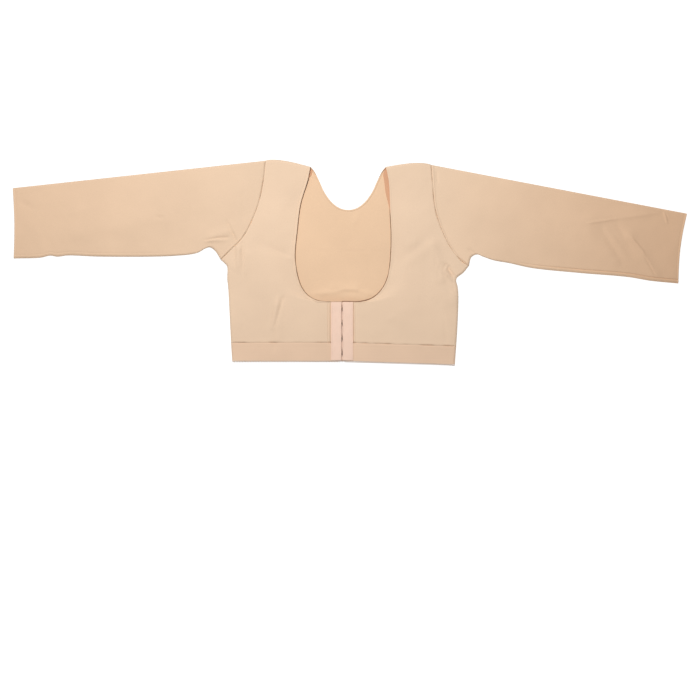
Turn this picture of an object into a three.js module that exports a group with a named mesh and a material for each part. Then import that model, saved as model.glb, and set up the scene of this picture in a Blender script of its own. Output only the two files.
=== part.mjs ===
// A compression top with three-quarter sleeves and a hooked front, lying flat with its front up.
// Millimetres. +X is towards the wearer's left sleeve, +Y towards the neck, +Z up from the surface.
// Every cloth piece is an open wall of even thickness, so body and sleeves are hollow right through.
import * as THREE from 'three';

// Cloth
const CLOTH = 1.3; // wall of every knitted piece
const SEAM_GAP = 0.3; // between two pieces that are sewn together
const FOLD_RADIUS = 4.5; // outer radius of the cloth where it turns over at an edge

// Body, measured from the hem edge up and from the front closure out
const BODY_LENGTH = 332; // hem edge to neck point
const SHOULDER_HALF = 141; // half of the width over the shoulder tips
const NECK_HALF = 64; // half of the width between the neck points
const SHOULDER_BOW = 4.5; // how far the shoulder edge rises between tip and neck point
const BOW_REACH = 66; // how far down the panel that rise is felt
const LEAN = 10.5; // the shoulders lie this far towards the wearer's left of the closure
const FRONT_NECK_DEPTH = 230; // neck point to the bottom of the front scoop
const SCOOP_HALF = 82; // half of the scoop's greatest width
const BACK_NECK_DEPTH = 73;
const BAND_HEIGHT = 33; // elastic hem band
const SIDE_SEAM_PAST_FOLD = 8.5; // the side seam lies on the underside, this far in from the fold
const NECK_SAG = 3.2; // how far the scoop's edge sinks towards the back
const NECK_SAG_REACH = 26;
const NECK_SAG_FADE = 60; // the sag starts this far from the closure and from the neck point
const NECK_ROLL = 34; // the back's neck edge comes down from the shoulder fold over this length

// Sleeves
const CUFF_WIDTH = 120; // flat width of the sleeve's end
const SLEEVE_PUFF = 2.5; // extra height along the middle of a sleeve
const ARMHOLE_BEND_REACH = 0.45; // share of the sleeve over which the armhole's curve fades out

// Closure
const TAPE_WIDTH = 18;
const TAPE_THICKNESS = 1.4;
const TAPE_GAP = 1.7; // between the two tapes
const TAPE_BARE = 7; // width of each tape that has no panel under it
const TAPE_END_INSET = 2.5; // the tapes stop this far above the hem edge
const HOOK_PITCH = 25;
const FIRST_HOOK_UP = 12.5; // lowest hook, from the tapes' lower end
const LAST_HOOK_DOWN = 8; // least way from the highest hook to the tapes' upper end
const WIRE = 0.9;
const WIRE_ROOT = 5; // length of wire held under a tape
const HOOK_BEND = 1.5; // radius of the hook's bend, to the middle of the wire
const EYE_HALF = 2.6; // half of the eye's width, to the middle of the wire

// How each half lies: lengths in mm from the closure or the hem, angles in degrees from level
const LAY = {
  right: {
    hand: -1, hem_out: 187, hem_dip: 0, chest_out: 195.5, flare: 11, tip_rise: 10.5,
    armhole_depth: 169, sleeve_length: 432, sleeve_fall: 6.2, cuff_lean: 0.7, cuff_hollow: 2.5,
  },
  left: {
    hand: 1, hem_out: 192, hem_dip: 6, chest_out: 197, flare: 19, tip_rise: 3.5,
    armhole_depth: 172, sleeve_length: 443, sleeve_fall: 10.8, cuff_lean: 7, cuff_hollow: 4.4,
  },
};

// Side edge. up: share of the underarm's height, out: from hem width 0 to chest width 1,
// flare: share of the flare out to the underarm.
const SIDE = {
  right: [
    { up: 0, out: 0, flare: 0 },
    { up: 0.2, out: 0.25, flare: 0 },
    { up: 0.72, out: 0.8, flare: 0 },
    { up: 0.82, out: 1, flare: 0 },
    { up: 0.9, out: 0.95, flare: 0 },
    { up: 0.94, out: 1, flare: 0.04 },
    { up: 0.965, out: 1, flare: 0.38 },
    { up: 1, out: 1, flare: 1 },
  ],
  left: [
    { up: 0, out: 0, flare: 0 },
    { up: 0.4, out: 0.9, flare: 0 },
    { up: 0.71, out: 1.2, flare: 0 },
    { up: 0.8, out: 0.9, flare: 0 },
    { up: 0.85, out: 0.45, flare: 0 },
    { up: 0.88, out: 0.75, flare: 0 },
    { up: 0.93, out: 1, flare: 0.5 },
    { up: 1, out: 1, flare: 1 },
  ],
};

// Armhole seam from underarm to shoulder tip. down: share of its depth below the tip,
// out: share of the way from the tip out to the underarm.
const ARMHOLE = {
  right: [
    { down: 1, out: 1 },
    { down: 0.905, out: 0.79 },
    { down: 0.77, out: 0.5 },
    { down: 0.6, out: 0.3 },
    { down: 0.44, out: 0.16 },
    { down: 0.2, out: 0.045 },
    { down: 0, out: 0 },
  ],
  left: [
    { down: 1, out: 1 },
    { down: 0.955, out: 0.81 },
    { down: 0.83, out: 0.53 },
    { down: 0.695, out: 0.34 },
    { down: 0.46, out: 0.12 },
    { down: 0.18, out: 0.035 },
    { down: 0, out: 0 },
  ],
};

// Front neckline from the closure to the neck point. down: share of the neck depth,
// out: share of the scoop's half width.
const FRONT_NECK = {
  right: [
    { down: 1, out: 0.22 },
    { down: 0.99, out: 0.5 },
    { down: 0.955, out: 0.7 },
    { down: 0.9, out: 0.83 },
    { down: 0.83, out: 0.91 },
    { down: 0.68, out: 0.98 },
    { down: 0.47, out: 0.935 },
    { down: 0.27, out: 0.86 },
    { down: 0.11, out: 0.72 },
  ],
  left: [
    { down: 1, out: 0.37 },
    { down: 0.97, out: 0.64 },
    { down: 0.9, out: 0.84 },
    { down: 0.805, out: 0.96 },
    { down: 0.675, out: 1.01 },
    { down: 0.51, out: 1.025 },
    { down: 0.32, out: 1 },
    { down: 0.11, out: 0.97 },
  ],
};

// Back neckline from neck point to middle. out: share of the neck's half width, down: share of its depth
const BACK_NECK = [
  { out: 1, down: 0 },
  { out: 0.905, down: 0.1 },
  { out: 0.75, down: 0.37 },
  { out: 0.64, down: 0.58 },
  { out: 0.43, down: 0.83 },
  { out: 0.21, down: 0.965 },
  { out: 0, down: 1 },
];

// Lower edge of a sleeve from underarm to cuff. along: share of its length, rise: share of the
// cuff's width that it lies above the straight line. The first rows are the tuck at the armpit.
const SLEEVE_LOWER_EDGE = {
  right: [
    { along: 0.027, rise: 0.125 },
    { along: 0.052, rise: 0.175 },
    { along: 0.075, rise: 0.16 },
    { along: 0.115, rise: 0.096 },
    { along: 0.23, rise: 0.052 },
    { along: 0.58, rise: 0.035 },
    { along: 0.74, rise: 0.048 },
    { along: 0.79, rise: 0.03 },
    { along: 0.825, rise: 0.044 },
    { along: 0.87, rise: 0.015 },
  ],
  left: [
    { along: 0.012, rise: 0.125 },
    { along: 0.04, rise: 0.17 },
    { along: 0.07, rise: 0.144 },
    { along: 0.12, rise: 0.106 },
    { along: 0.19, rise: 0.087 },
    { along: 0.3, rise: 0.044 },
    { along: 0.53, rise: 0.031 },
    { along: 0.76, rise: 0.031 },
    { along: 0.87, rise: 0.005 },
  ],
};

// Folds of the upper layer, each along a line from out and up to to_out and to_up. Body rows: out is
// a share of the chest's half width, up of the body's length. Sleeve rows: out is a share from
// armhole to cuff, up from lower to upper edge. width and rise are mm; a negative rise is a dent.
const FRONT_FOLDS = [
  { half: 'right', on: 'body', out: 0.565, up: 0.29, to_out: 0.56, to_up: 0.12, width: 8, rise: 1.8 },
  { half: 'right', on: 'body', out: 0.9, up: 0.58, to_out: 0.93, to_up: 0.49, width: 7, rise: 1.6 },
  { half: 'right', on: 'body', out: 0.83, up: 0.55, to_out: 0.85, to_up: 0.46, width: 7, rise: 1.2 },
  { half: 'right', on: 'body', out: 0.72, up: 0.6, to_out: 0.5, to_up: 0.56, width: 9, rise: -1 },
  { half: 'right', on: 'sleeve', out: 0.09, up: 0.12, to_out: 0.03, to_up: 0.24, width: 8, rise: 1.8 },
  { half: 'right', on: 'sleeve', out: 0.35, up: 0.45, to_out: 0.72, to_up: 0.3, width: 14, rise: 1 },
  { half: 'left', on: 'body', out: 0.88, up: 0.48, to_out: 0.95, to_up: 0.38, width: 7, rise: -1.6 },
  { half: 'left', on: 'body', out: 0.79, up: 0.6, to_out: 0.84, to_up: 0.43, width: 10, rise: 1.8 },
  { half: 'left', on: 'body', out: 0.5, up: 0.48, to_out: 0.76, to_up: 0.6, width: 12, rise: 1 },
  { half: 'left', on: 'sleeve', out: 0.59, up: 0.66, to_out: 0.84, to_up: 0.91, width: 10, rise: 2 },
  { half: 'left', on: 'sleeve', out: 0.775, up: 0.53, to_out: 0.89, to_up: 0.12, width: 10, rise: 1.8 },
  { half: 'left', on: 'sleeve', out: 0.6, up: 0.51, to_out: 0.71, to_up: 0.2, width: 10, rise: 1.6 },
];
// Folds of the back layer, which lift it off the surface
const BACK_FOLDS = [
  { half: 'right', on: 'body', out: 0.16, up: 0.35, to_out: -0.2, to_up: 0.335, width: 8, rise: 2.4 },
  { half: 'left', on: 'body', out: -0.08, up: 0.385, to_out: 0.12, to_up: 0.38, width: 6, rise: 1.4 },
];

// How finely the pieces are drawn
const FOLD_STEPS = 4; // flats round a half turn of cloth
const BAND_ROWS = 2;
const LOW_ROWS = 4; // panel rows beside the closure
const MID_ROWS = 6; // panel rows from the closure's top to the underarm
const ARMHOLE_ROWS = 7; // panel rows beside the armhole
const PANEL_COLUMNS = 8;
const NECK_COLUMNS = 12;
const SLEEVE_RINGS = 18;
const RUNG_POINTS = 9;
const WIRE_SIDES = 6;
const WIRE_STEPS = 9;

const LAY_HEIGHT = 2 * FOLD_RADIUS; // top of the flat upper layer
const HALF_GAP = SEAM_GAP / 2;
const QUARTER = Math.PI / 2;

const point = (x, y) => new THREE.Vector3(x, y, 0);
const between = (from, to, share) => new THREE.Vector3().lerpVectors(from, to, share);
const ramp = (from, to, value) => THREE.MathUtils.smoothstep(value, from, to);
const steps = (count) => Array.from({ length: count + 1 }, (_, index) => index / count);

function smoothLine(points) {
  const line = new THREE.CatmullRomCurve3(points, false, 'centripetal');
  line.arcLengthDivisions = 400;
  return line;
}

// The point at a distance along a line, moved to its left by a distance
function beside(line, distance, left = 0) {
  const share = THREE.MathUtils.clamp(distance / line.getLength(), 0, 1);
  const tangent = line.getTangentAt(share);
  return line.getPointAt(share).add(point(-tangent.y * left, tangent.x * left));
}

function distanceAtHeight(line, height) {
  const shares = steps(200);
  return shares.find((share) => line.getPointAt(share).y >= height) * line.getLength();
}

// Works out one half's corners and edge lines in plan
function layHalf(key) {
  const lay = LAY[key];
  const { hand } = lay;
  const at = (out, up) => point(hand * out, up);
  const neck = at(NECK_HALF + hand * LEAN, BODY_LENGTH);
  const tip = at(SHOULDER_HALF + hand * LEAN, BODY_LENGTH + lay.tip_rise);
  const underarm = at(lay.chest_out + lay.flare, tip.y - lay.armhole_depth);
  const fall = THREE.MathUtils.degToRad(lay.sleeve_fall);
  const lean = THREE.MathUtils.degToRad(lay.cuff_lean);
  const reach = lay.sleeve_length;
  const cuffTop = tip.clone().add(at(reach * Math.cos(fall), -reach * Math.sin(fall)));
  const cuffLow = cuffTop.clone().add(at(-CUFF_WIDTH * Math.sin(lean), -CUFF_WIDTH * Math.cos(lean)));
  const width = lay.chest_out - lay.hem_out;
  const side = smoothLine(SIDE[key].map((row) => at(
    lay.hem_out + row.out * width + row.flare * lay.flare,
    THREE.MathUtils.lerp(-lay.hem_dip, underarm.y, row.up),
  )));
  const armhole = smoothLine(ARMHOLE[key].map((row) => point(
    THREE.MathUtils.lerp(tip.x, underarm.x, row.out),
    tip.y - row.down * lay.armhole_depth,
  )));
  const scoopBottom = BODY_LENGTH - FRONT_NECK_DEPTH;
  const closureTop = at(TAPE_GAP / 2 + TAPE_BARE, scoopBottom);
  const neckline = smoothLine([
    closureTop,
    ...FRONT_NECK[key].map((row) => at(row.out * SCOOP_HALF, BODY_LENGTH - row.down * FRONT_NECK_DEPTH)),
    neck,
  ]);
  const sleeveLower = smoothLine([
    underarm,
    ...SLEEVE_LOWER_EDGE[key].map((row) => between(underarm, cuffLow, row.along)
      .add(point(0, row.rise * CUFF_WIDTH))),
    cuffLow,
  ]);
  const sleeveUpper = smoothLine([tip, between(tip, cuffTop, 0.5), cuffTop]);
  return {
    key, lay, hand, neck, tip, underarm, side, armhole, closureTop, neckline, sleeveLower, sleeveUpper,
  };
}

const RIGHT = layHalf('right');
const LEFT = layHalf('left');
const HALVES = [RIGHT, LEFT];

// A fold as a line in plan with a rounded ridge or dent along it
function foldLine(row) {
  const half = row.half === 'right' ? RIGHT : LEFT;
  const place = (out, up) => (row.on === 'body'
    ? point(half.hand * out * half.lay.chest_out, up * BODY_LENGTH)
    : between(half.sleeveLower.getPointAt(out), half.sleeveUpper.getPointAt(out), up));
  const line = new THREE.Line3(place(row.out, row.up), place(row.to_out, row.to_up));
  return (spot) => {
    const away = line.closestPointToPoint(spot, true, new THREE.Vector3()).distanceTo(spot);
    return row.rise * Math.exp(-((away / row.width) ** 2));
  };
}

const frontFolds = FRONT_FOLDS.map(foldLine);
const backFolds = BACK_FOLDS.map(foldLine);
const relief = (folds, spot) => folds.reduce((sum, fold) => sum + fold(spot), 0);

// A node of cloth holds its outer and its inner point.
// On a flat layer the wall is measured straight up; extra lifts both faces.
function flatNode(spot, isTop, extra) {
  const outer = (isTop ? LAY_HEIGHT : 0) + extra;
  const inner = outer + (isTop ? -CLOTH : CLOTH);
  return {
    outer: new THREE.Vector3(spot.x, spot.y, outer),
    inner: new THREE.Vector3(spot.x, spot.y, inner),
  };
}

// In a fold the wall turns about an axis at mid height. place(distance) is the plan point that far
// in from the edge; angle is 0 at the edge, a quarter turn on top and minus a quarter below.
function foldNode(place, angle, extra) {
  const onShell = (radius) => {
    const spot = place(FOLD_RADIUS - radius * Math.cos(angle));
    return new THREE.Vector3(spot.x, spot.y, FOLD_RADIUS + (radius + extra) * Math.sin(angle));
  };
  return { outer: onShell(FOLD_RADIUS), inner: onShell(FOLD_RADIUS - CLOTH) };
}

const topNode = (spot, extra = 0) => flatNode(spot, true, relief(frontFolds, spot) + extra);
const underNode = (spot, extra = 0) => flatNode(spot, false, relief(backFolds, spot) + extra);

// Nodes through a fold from its underside to its top
function foldNodes(place) {
  return steps(FOLD_STEPS).map((share) => {
    const angle = THREE.MathUtils.lerp(-QUARTER, QUARTER, share);
    const extra = angle > 0 ? relief(frontFolds, place(FOLD_RADIUS)) : 0;
    return foldNode(place, angle, extra);
  });
}

// Closes a grid of nodes to a wall: outer faces, inner faces and a rim round every open edge.
// A row may hold null where the piece has no cloth; a ring joins each row's end to its start.
function wall(rows, isRing = false) {
  const nodes = [...new Set(rows.flat())].filter((node) => node);
  const number = new Map(nodes.map((node, index) => [node, index]));
  const inside = nodes.length;
  const quads = [];
  for (let row = 0; row + 1 < rows.length; row += 1) {
    const columns = rows[row].length;
    for (let column = 0; column < (isRing ? columns : columns - 1); column += 1) {
      const next = (column + 1) % columns;
      const corners = [rows[row][column], rows[row][next], rows[row + 1][next], rows[row + 1][column]];
      if (corners.every((node) => node)) {
        quads.push(corners.map((node) => number.get(node)));
      }
    }
  }
  const edges = new Set(quads.flatMap((quad) => quad.map((from, k) => `${from}>${quad[(k + 1) % 4]}`)));
  const faces = [];
  const addQuad = (a, b, c, d) => faces.push([a, b, c], [a, c, d]);
  quads.forEach(([a, b, c, d]) => {
    const span = (from, to) => nodes[from].outer.distanceTo(nodes[to].outer);
    const turn = span(a, c) <= span(b, d) ? [a, b, c, d] : [b, c, d, a];
    addQuad(...turn);
    faces.push([turn[0], turn[2], turn[1]].map((index) => index + inside));
    faces.push([turn[0], turn[3], turn[2]].map((index) => index + inside));
    [[a, b], [b, c], [c, d], [d, a]].forEach(([from, to]) => {
      if (!edges.has(`${to}>${from}`)) {
        addQuad(to, from, from + inside, to + inside);
      }
    });
  });
  return closedGeometry([...nodes.map((node) => node.outer), ...nodes.map((node) => node.inner)], faces);
}

// Builds a geometry and turns its faces outwards if its volume comes out negative
function closedGeometry(points, faces) {
  const volume = faces.reduce((sum, [a, b, c]) => (
    sum + points[a].dot(new THREE.Vector3().crossVectors(points[b], points[c]))
  ), 0);
  const index = faces.flatMap(([a, b, c]) => (volume > 0 ? [a, b, c] : [a, c, b]));
  const geometry = new THREE.BufferGeometry().setFromPoints(points);
  geometry.setIndex(index);
  geometry.computeVertexNormals();
  return geometry;
}

// Distances along an armhole where its rows end, from the top of the underarm fold to the shoulder's
function armholeRows(half) {
  const seam = FOLD_RADIUS + SIDE_SEAM_PAST_FOLD;
  const last = half.armhole.getLength() - FOLD_RADIUS;
  return [FOLD_RADIUS, ...steps(ARMHOLE_ROWS).map((share) => THREE.MathUtils.lerp(seam, last, share))];
}

// A point beside the armhole; toBody moves it half a seam gap to the body's side, else to the sleeve's
function onArmhole(half, distance, toBody) {
  return beside(half.armhole, distance, (toBody ? half.hand : -half.hand) * HALF_GAP);
}

// Distances along the side edge where the panel rows end
function sideRows(half) {
  const seam = BAND_HEIGHT + HALF_GAP;
  const length = half.side.getLength();
  const level = Math.min(half.closureTop.y, seam + 0.8 * (length - seam));
  return [
    ...steps(LOW_ROWS).map((share) => THREE.MathUtils.lerp(seam, level, share)),
    ...steps(MID_ROWS).slice(1).map((share) => THREE.MathUtils.lerp(length, level, (1 - share) ** 1.4)),
  ];
}

// Place function for the fold at the side edge: a distance in from the edge gives the plan point
function sideFold(half, distance) {
  const edge = beside(half.side, distance);
  if (distance >= half.side.getLength()) {
    return (inward) => onArmhole(half, inward, true);
  }
  const other = half === RIGHT ? LEFT : RIGHT;
  const across = beside(other.side, distance).sub(edge).normalize();
  const square = beside(half.side, distance, half.hand).sub(edge);
  const share = ramp(BAND_HEIGHT + SEAM_GAP, 2 * BAND_HEIGHT, distance);
  const inwards = across.lerp(square, share).normalize();
  return (inward) => edge.clone().addScaledVector(inwards, inward);
}

const shoulderBow = (share) => SHOULDER_BOW * Math.sin(Math.PI * share ** 0.7);
const bowAt = (fromTip) => ramp(0, 1, 1 - fromTip / BOW_REACH);

// The wearer's right or left front, with the fold at the side and the strip under it
function frontPanel(half) {
  const { neckline, armhole, closureTop } = half;
  const neckLength = neckline.getLength();
  const armLength = armhole.getLength();
  const neckAtUnderarm = distanceAtHeight(neckline, half.underarm.y);
  const seamEnd = FOLD_RADIUS + SIDE_SEAM_PAST_FOLD - HALF_GAP;
  const columns = steps(PANEL_COLUMNS);
  const blank = Array(FOLD_STEPS + 1).fill(null);

  const flatRow = (from, to, neckDistance, bow) => {
    const window = ramp(0, NECK_SAG_FADE, neckDistance) * ramp(0, NECK_SAG_FADE, neckLength - neckDistance);
    const length = from.distanceTo(to);
    return columns.map((share) => {
      const spot = between(from, to, share).add(point(0, bow * shoulderBow(share)));
      const sag = NECK_SAG * window * Math.exp(-((((1 - share) * length) / NECK_SAG_REACH) ** 2));
      return topNode(spot, -sag);
    });
  };
  const lowRows = sideRows(half).map((distance, index) => {
    const place = sideFold(half, distance);
    const lowShare = Math.min(index / LOW_ROWS, 1);
    const seamUp = BAND_HEIGHT + HALF_GAP;
    const neckDistance = Math.max((index - LOW_ROWS) / MID_ROWS, 0) * neckAtUnderarm;
    const frontEdge = neckDistance > 0
      ? beside(neckline, neckDistance)
      : point(closureTop.x, THREE.MathUtils.lerp(seamUp, closureTop.y, lowShare));
    const flat = flatRow(place(FOLD_RADIUS), frontEdge, neckDistance, 0);
    const fold = foldNodes(place);
    return [underNode(place(seamEnd)), ...fold.slice(0, -1), ...flat];
  });
  const armRows = armholeRows(half).slice(1).map((distance) => {
    const share = (distance - FOLD_RADIUS) / (armLength - 2 * FOLD_RADIUS);
    const neckDistance = THREE.MathUtils.lerp(neckAtUnderarm, neckLength - FOLD_RADIUS, share);
    const arm = onArmhole(half, distance, true);
    const bow = bowAt(armLength - distance);
    return [...blank, ...flatRow(arm, beside(neckline, neckDistance), neckDistance, bow)];
  });
  const roofPlace = (share) => (fromTip) => {
    const arm = onArmhole(half, armLength - fromTip, true);
    const edge = beside(neckline, neckLength - fromTip);
    return between(arm, edge, share).add(point(0, bowAt(fromTip) * shoulderBow(share)));
  };
  const rollRows = rollSteps().reverse().map((angle) => [
    ...blank,
    ...columns.map((share) => {
      const place = roofPlace(share);
      return foldNode(place, angle, relief(frontFolds, place(FOLD_RADIUS)));
    }),
  ]);
  return wall([...lowRows, ...armRows, ...rollRows]);
}

// Angles of a shoulder's quarter turn, from half a gap off its edge to just short of flat
function rollSteps() {
  const first = Math.asin(HALF_GAP / FOLD_RADIUS);
  const count = FOLD_STEPS / 2;
  return steps(count).slice(0, -1).map((share) => Math.max(share * QUARTER, first));
}

// The whole back, from side seam to side seam, with its shoulders turned up to the fold
function backPanel() {
  const seam = FOLD_RADIUS + SIDE_SEAM_PAST_FOLD;
  const rail = (half) => [
    ...sideRows(half).slice(0, -1).map((distance) => sideFold(half, distance)(seam + HALF_GAP)),
    beside(half.armhole, seam, half.hand * HALF_GAP).add(point(-half.hand * HALF_GAP, 0)),
    ...armholeRows(half).slice(2, -1).map((distance) => onArmhole(half, distance, true)),
  ];
  const shoulder = (half, share) => between(half.tip, half.neck, share).add(point(0, shoulderBow(share)));
  const middle = between(RIGHT.neck, LEFT.neck, 0.5);
  const neckHalf = (half) => BACK_NECK.map((row) => point(
    middle.x + half.hand * row.out * NECK_HALF,
    middle.y - row.down * BACK_NECK_DEPTH,
  ));
  const neckline = smoothLine([...neckHalf(RIGHT), ...neckHalf(LEFT).reverse().slice(1)]);
  const neckLength = neckline.getLength();
  const topEdge = [
    ...steps(PANEL_COLUMNS / 2).slice(0, -1).map((share) => ({ spot: shoulder(RIGHT, share), lift: 1 })),
    ...steps(NECK_COLUMNS).map((share) => ({
      spot: neckline.getPointAt(share),
      lift: 1 - ramp(0, NECK_ROLL, Math.min(share, 1 - share) * neckLength),
    })),
    ...steps(PANEL_COLUMNS / 2).slice(1).map((share) => ({ spot: shoulder(LEFT, 1 - share), lift: 1 })),
  ];
  const rails = HALVES.map(rail);
  const tips = HALVES.map((half) => half.tip);
  const start = rails.map((points) => points[0]);
  const mean = (pair) => (pair[0].y + pair[1].y) / 2;
  const plan = (pair, { spot }) => {
    const across = (spot.x - tips[0].x) / (tips[1].x - tips[0].x);
    const risen = (mean(pair) - mean(start)) / (mean(tips) - mean(start));
    const drop = spot.y - THREE.MathUtils.lerp(tips[0].y, tips[1].y, across);
    return between(pair[0], pair[1], across).add(point(0, drop * risen ** 2));
  };
  const flatRows = rails[0].map((spot, index) => topEdge
    .map((column) => underNode(plan([spot, rails[1][index]], column))));
  const pairAt = (fromTip) => HALVES.map((half) => onArmhole(half, half.armhole.getLength() - fromTip, true));
  const lastFlat = topEdge.map((column) => underNode(plan(pairAt(FOLD_RADIUS), column)));
  const rollRows = rollSteps().reverse().map((angle) => topEdge.map((column) => {
    const turned = foldNode((fromTip) => plan(pairAt(fromTip), column), -angle, 0);
    const level = underNode(plan(pairAt(FOLD_RADIUS - FOLD_RADIUS * Math.cos(angle)), column));
    return {
      outer: level.outer.lerp(turned.outer, column.lift),
      inner: level.inner.lerp(turned.inner, column.lift),
    };
  }));
  return wall([...flatRows, lastFlat, ...rollRows]);
}

// A line across the sleeve from lower to upper edge, curved as the armhole near the body and as the
// cuff's slight hollow at the end
function sleeveRung(half, share) {
  const low = half.sleeveLower.getPointAt(share);
  const high = half.sleeveUpper.getPointAt(share);
  const armhole = 1 - ramp(0, ARMHOLE_BEND_REACH, share);
  const cuff = ramp(0.8, 1, share) * half.lay.cuff_hollow;
  return smoothLine(steps(RUNG_POINTS - 1).map((across) => {
    const straight = between(half.underarm, half.tip, across);
    const bend = half.armhole.getPointAt(across).sub(straight).multiplyScalar(armhole);
    const hollow = point(-half.hand * cuff * Math.sin(Math.PI * across), 0);
    return between(low, high, across).add(bend).add(hollow);
  }));
}

// One flattened tube from armhole to cuff
function sleeve(half) {
  const armRows = armholeRows(half);
  const span = armRows.at(-1) - FOLD_RADIUS;
  const shares = armRows.map((distance) => (distance - FOLD_RADIUS) / span);
  const rings = steps(SLEEVE_RINGS).map((step) => {
    const along = step ** 1.5;
    const rung = step > 0 ? sleeveRung(half, along) : half.armhole;
    const length = rung.getLength();
    const place = (distance) => (step > 0 ? beside(rung, distance) : onArmhole(half, distance, false));
    const puff = SLEEVE_PUFF * ramp(0, 0.25, along);
    const flat = shares.slice(1, -1).map((share) => ({
      spot: place(THREE.MathUtils.lerp(FOLD_RADIUS, length - FOLD_RADIUS, share)),
      extra: puff * Math.sin(Math.PI * share),
    }));
    return [
      ...foldNodes(place),
      ...flat.map(({ spot, extra }) => topNode(spot, extra)),
      ...foldNodes((distance) => place(length - distance)).reverse(),
      ...flat.reverse().map(({ spot }) => underNode(spot)),
    ];
  });
  return wall(rings, true);
}

// The elastic band, from tape to tape round the back
function hemBand() {
  const rows = steps(BAND_ROWS).map((share) => {
    const distance = share * (BAND_HEIGHT - HALF_GAP);
    const front = (half) => {
      const fold = sideFold(half, distance);
      const edge = point(half.closureTop.x, distance);
      return steps(PANEL_COLUMNS).slice(0, -1).map((step) => topNode(between(edge, fold(FOLD_RADIUS), step)));
    };
    const under = steps(2 * PANEL_COLUMNS).slice(1, -1).map((step) => underNode(
      between(sideFold(RIGHT, distance)(FOLD_RADIUS), sideFold(LEFT, distance)(FOLD_RADIUS), step),
    ));
    return [
      ...front(RIGHT),
      ...foldNodes(sideFold(RIGHT, distance)).reverse(),
      ...under,
      ...foldNodes(sideFold(LEFT, distance)),
      ...front(LEFT).reverse(),
    ];
  });
  return wall(rows);
}

// The wires' roots run just under the tapes, and the eye's bar lies inside the hook's bend
const TAPE_UNDERSIDE = LAY_HEIGHT + SEAM_GAP;
const ROOT_LEVEL = TAPE_UNDERSIDE - SEAM_GAP - WIRE / 2;
const BAR_LEVEL = ROOT_LEVEL - HOOK_BEND;

const TAPE_LENGTH = RIGHT.closureTop.y - TAPE_END_INSET;
const HOOK_COUNT = 1 + Math.floor((TAPE_LENGTH - FIRST_HOOK_UP - LAST_HOOK_DOWN) / HOOK_PITCH);

// A closure tape lies flat on the panel's front edge and on the band's end
function tape(half) {
  const geometry = new THREE.BoxGeometry(TAPE_WIDTH, TAPE_LENGTH, TAPE_THICKNESS);
  geometry.translate(
    half.hand * (TAPE_GAP + TAPE_WIDTH) / 2,
    TAPE_END_INSET + TAPE_LENGTH / 2,
    TAPE_UNDERSIDE + TAPE_THICKNESS / 2,
  );
  return geometry;
}

function wire(points, stepCount) {
  const section = new THREE.Shape(steps(WIRE_SIDES).slice(0, -1).map((share) => new THREE.Vector2(
    (WIRE / 2) * Math.cos(2 * Math.PI * share),
    (WIRE / 2) * Math.sin(2 * Math.PI * share),
  )));
  const path = new THREE.CatmullRomCurve3(points, false, 'centripetal');
  return new THREE.ExtrudeGeometry(section, { steps: stepCount, bevelEnabled: false, extrudePath: path });
}

function hookWire(up) {
  const root = -TAPE_GAP / 2 - WIRE_ROOT;
  const turn = steps(4).map((share) => {
    const angle = QUARTER - share * Math.PI;
    return new THREE.Vector3(HOOK_BEND * Math.cos(angle), up, BAR_LEVEL + HOOK_BEND * Math.sin(angle));
  });
  const tail = new THREE.Vector3(-HOOK_BEND, up, BAR_LEVEL - HOOK_BEND);
  return wire([new THREE.Vector3(root, up, ROOT_LEVEL), ...turn, tail], 2 * WIRE_STEPS);
}

function eyeWire(up) {
  const root = TAPE_GAP / 2 + WIRE_ROOT;
  const leg = (side) => [
    new THREE.Vector3(root, up + side * EYE_HALF, ROOT_LEVEL),
    new THREE.Vector3(HOOK_BEND + WIRE, up + side * EYE_HALF, BAR_LEVEL + HOOK_BEND / 2),
    new THREE.Vector3(WIRE, up + side * EYE_HALF, BAR_LEVEL),
  ];
  const corner = (side) => new THREE.Vector3(0, up + side * (EYE_HALF - WIRE), BAR_LEVEL);
  return wire([...leg(1), corner(1), corner(-1), ...leg(-1).reverse()], 2 * WIRE_STEPS);
}

const knit = (color) => new THREE.MeshStandardMaterial({ color, roughness: 0.85, metalness: 0 });
const metal = () => new THREE.MeshStandardMaterial({ color: 0xc9c4bc, roughness: 0.3, metalness: 1 });

const garment = new THREE.Group();

function add(name, geometry, material) {
  const mesh = new THREE.Mesh(geometry, material);
  mesh.name = name;
  garment.add(mesh);
}

HALVES.forEach((half) => {
  add(`front_panel_${half.key}`, frontPanel(half), knit(0xebcdb1));
  add(`sleeve_${half.key}`, sleeve(half), knit(0xe7caad));
});
add('back_panel', backPanel(), knit(0xeac8a8));
add('hem_band', hemBand(), knit(0xe1c2a8));
add('hook_tape', tape(RIGHT), knit(0xf0ceba));
add('eye_tape', tape(LEFT), knit(0xf0ceba));
for (let index = 0; index < HOOK_COUNT; index += 1) {
  const up = TAPE_END_INSET + FIRST_HOOK_UP + index * HOOK_PITCH;
  add(`hook_${index + 1}`, hookWire(up), metal());
  add(`eye_${index + 1}`, eyeWire(up), metal());
}

// The origin is under the middle of the garment's bounding box
const box = new THREE.Box3().setFromObject(garment);
garment.position.set(-(box.min.x + box.max.x) / 2, -(box.min.y + box.max.y) / 2, -box.min.z);

export default garment;
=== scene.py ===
"""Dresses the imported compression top: knit cloth, seams, picot edge, closure tapes, hooks and stage.

Lengths in the tables and properties are the garment's own, in metres, measured before the frame's
shift: x out from the closure, y up from the hem edge, z up from the surface that it lies on.
"""

import math

import bpy
import numpy as np
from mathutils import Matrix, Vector, noise


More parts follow.
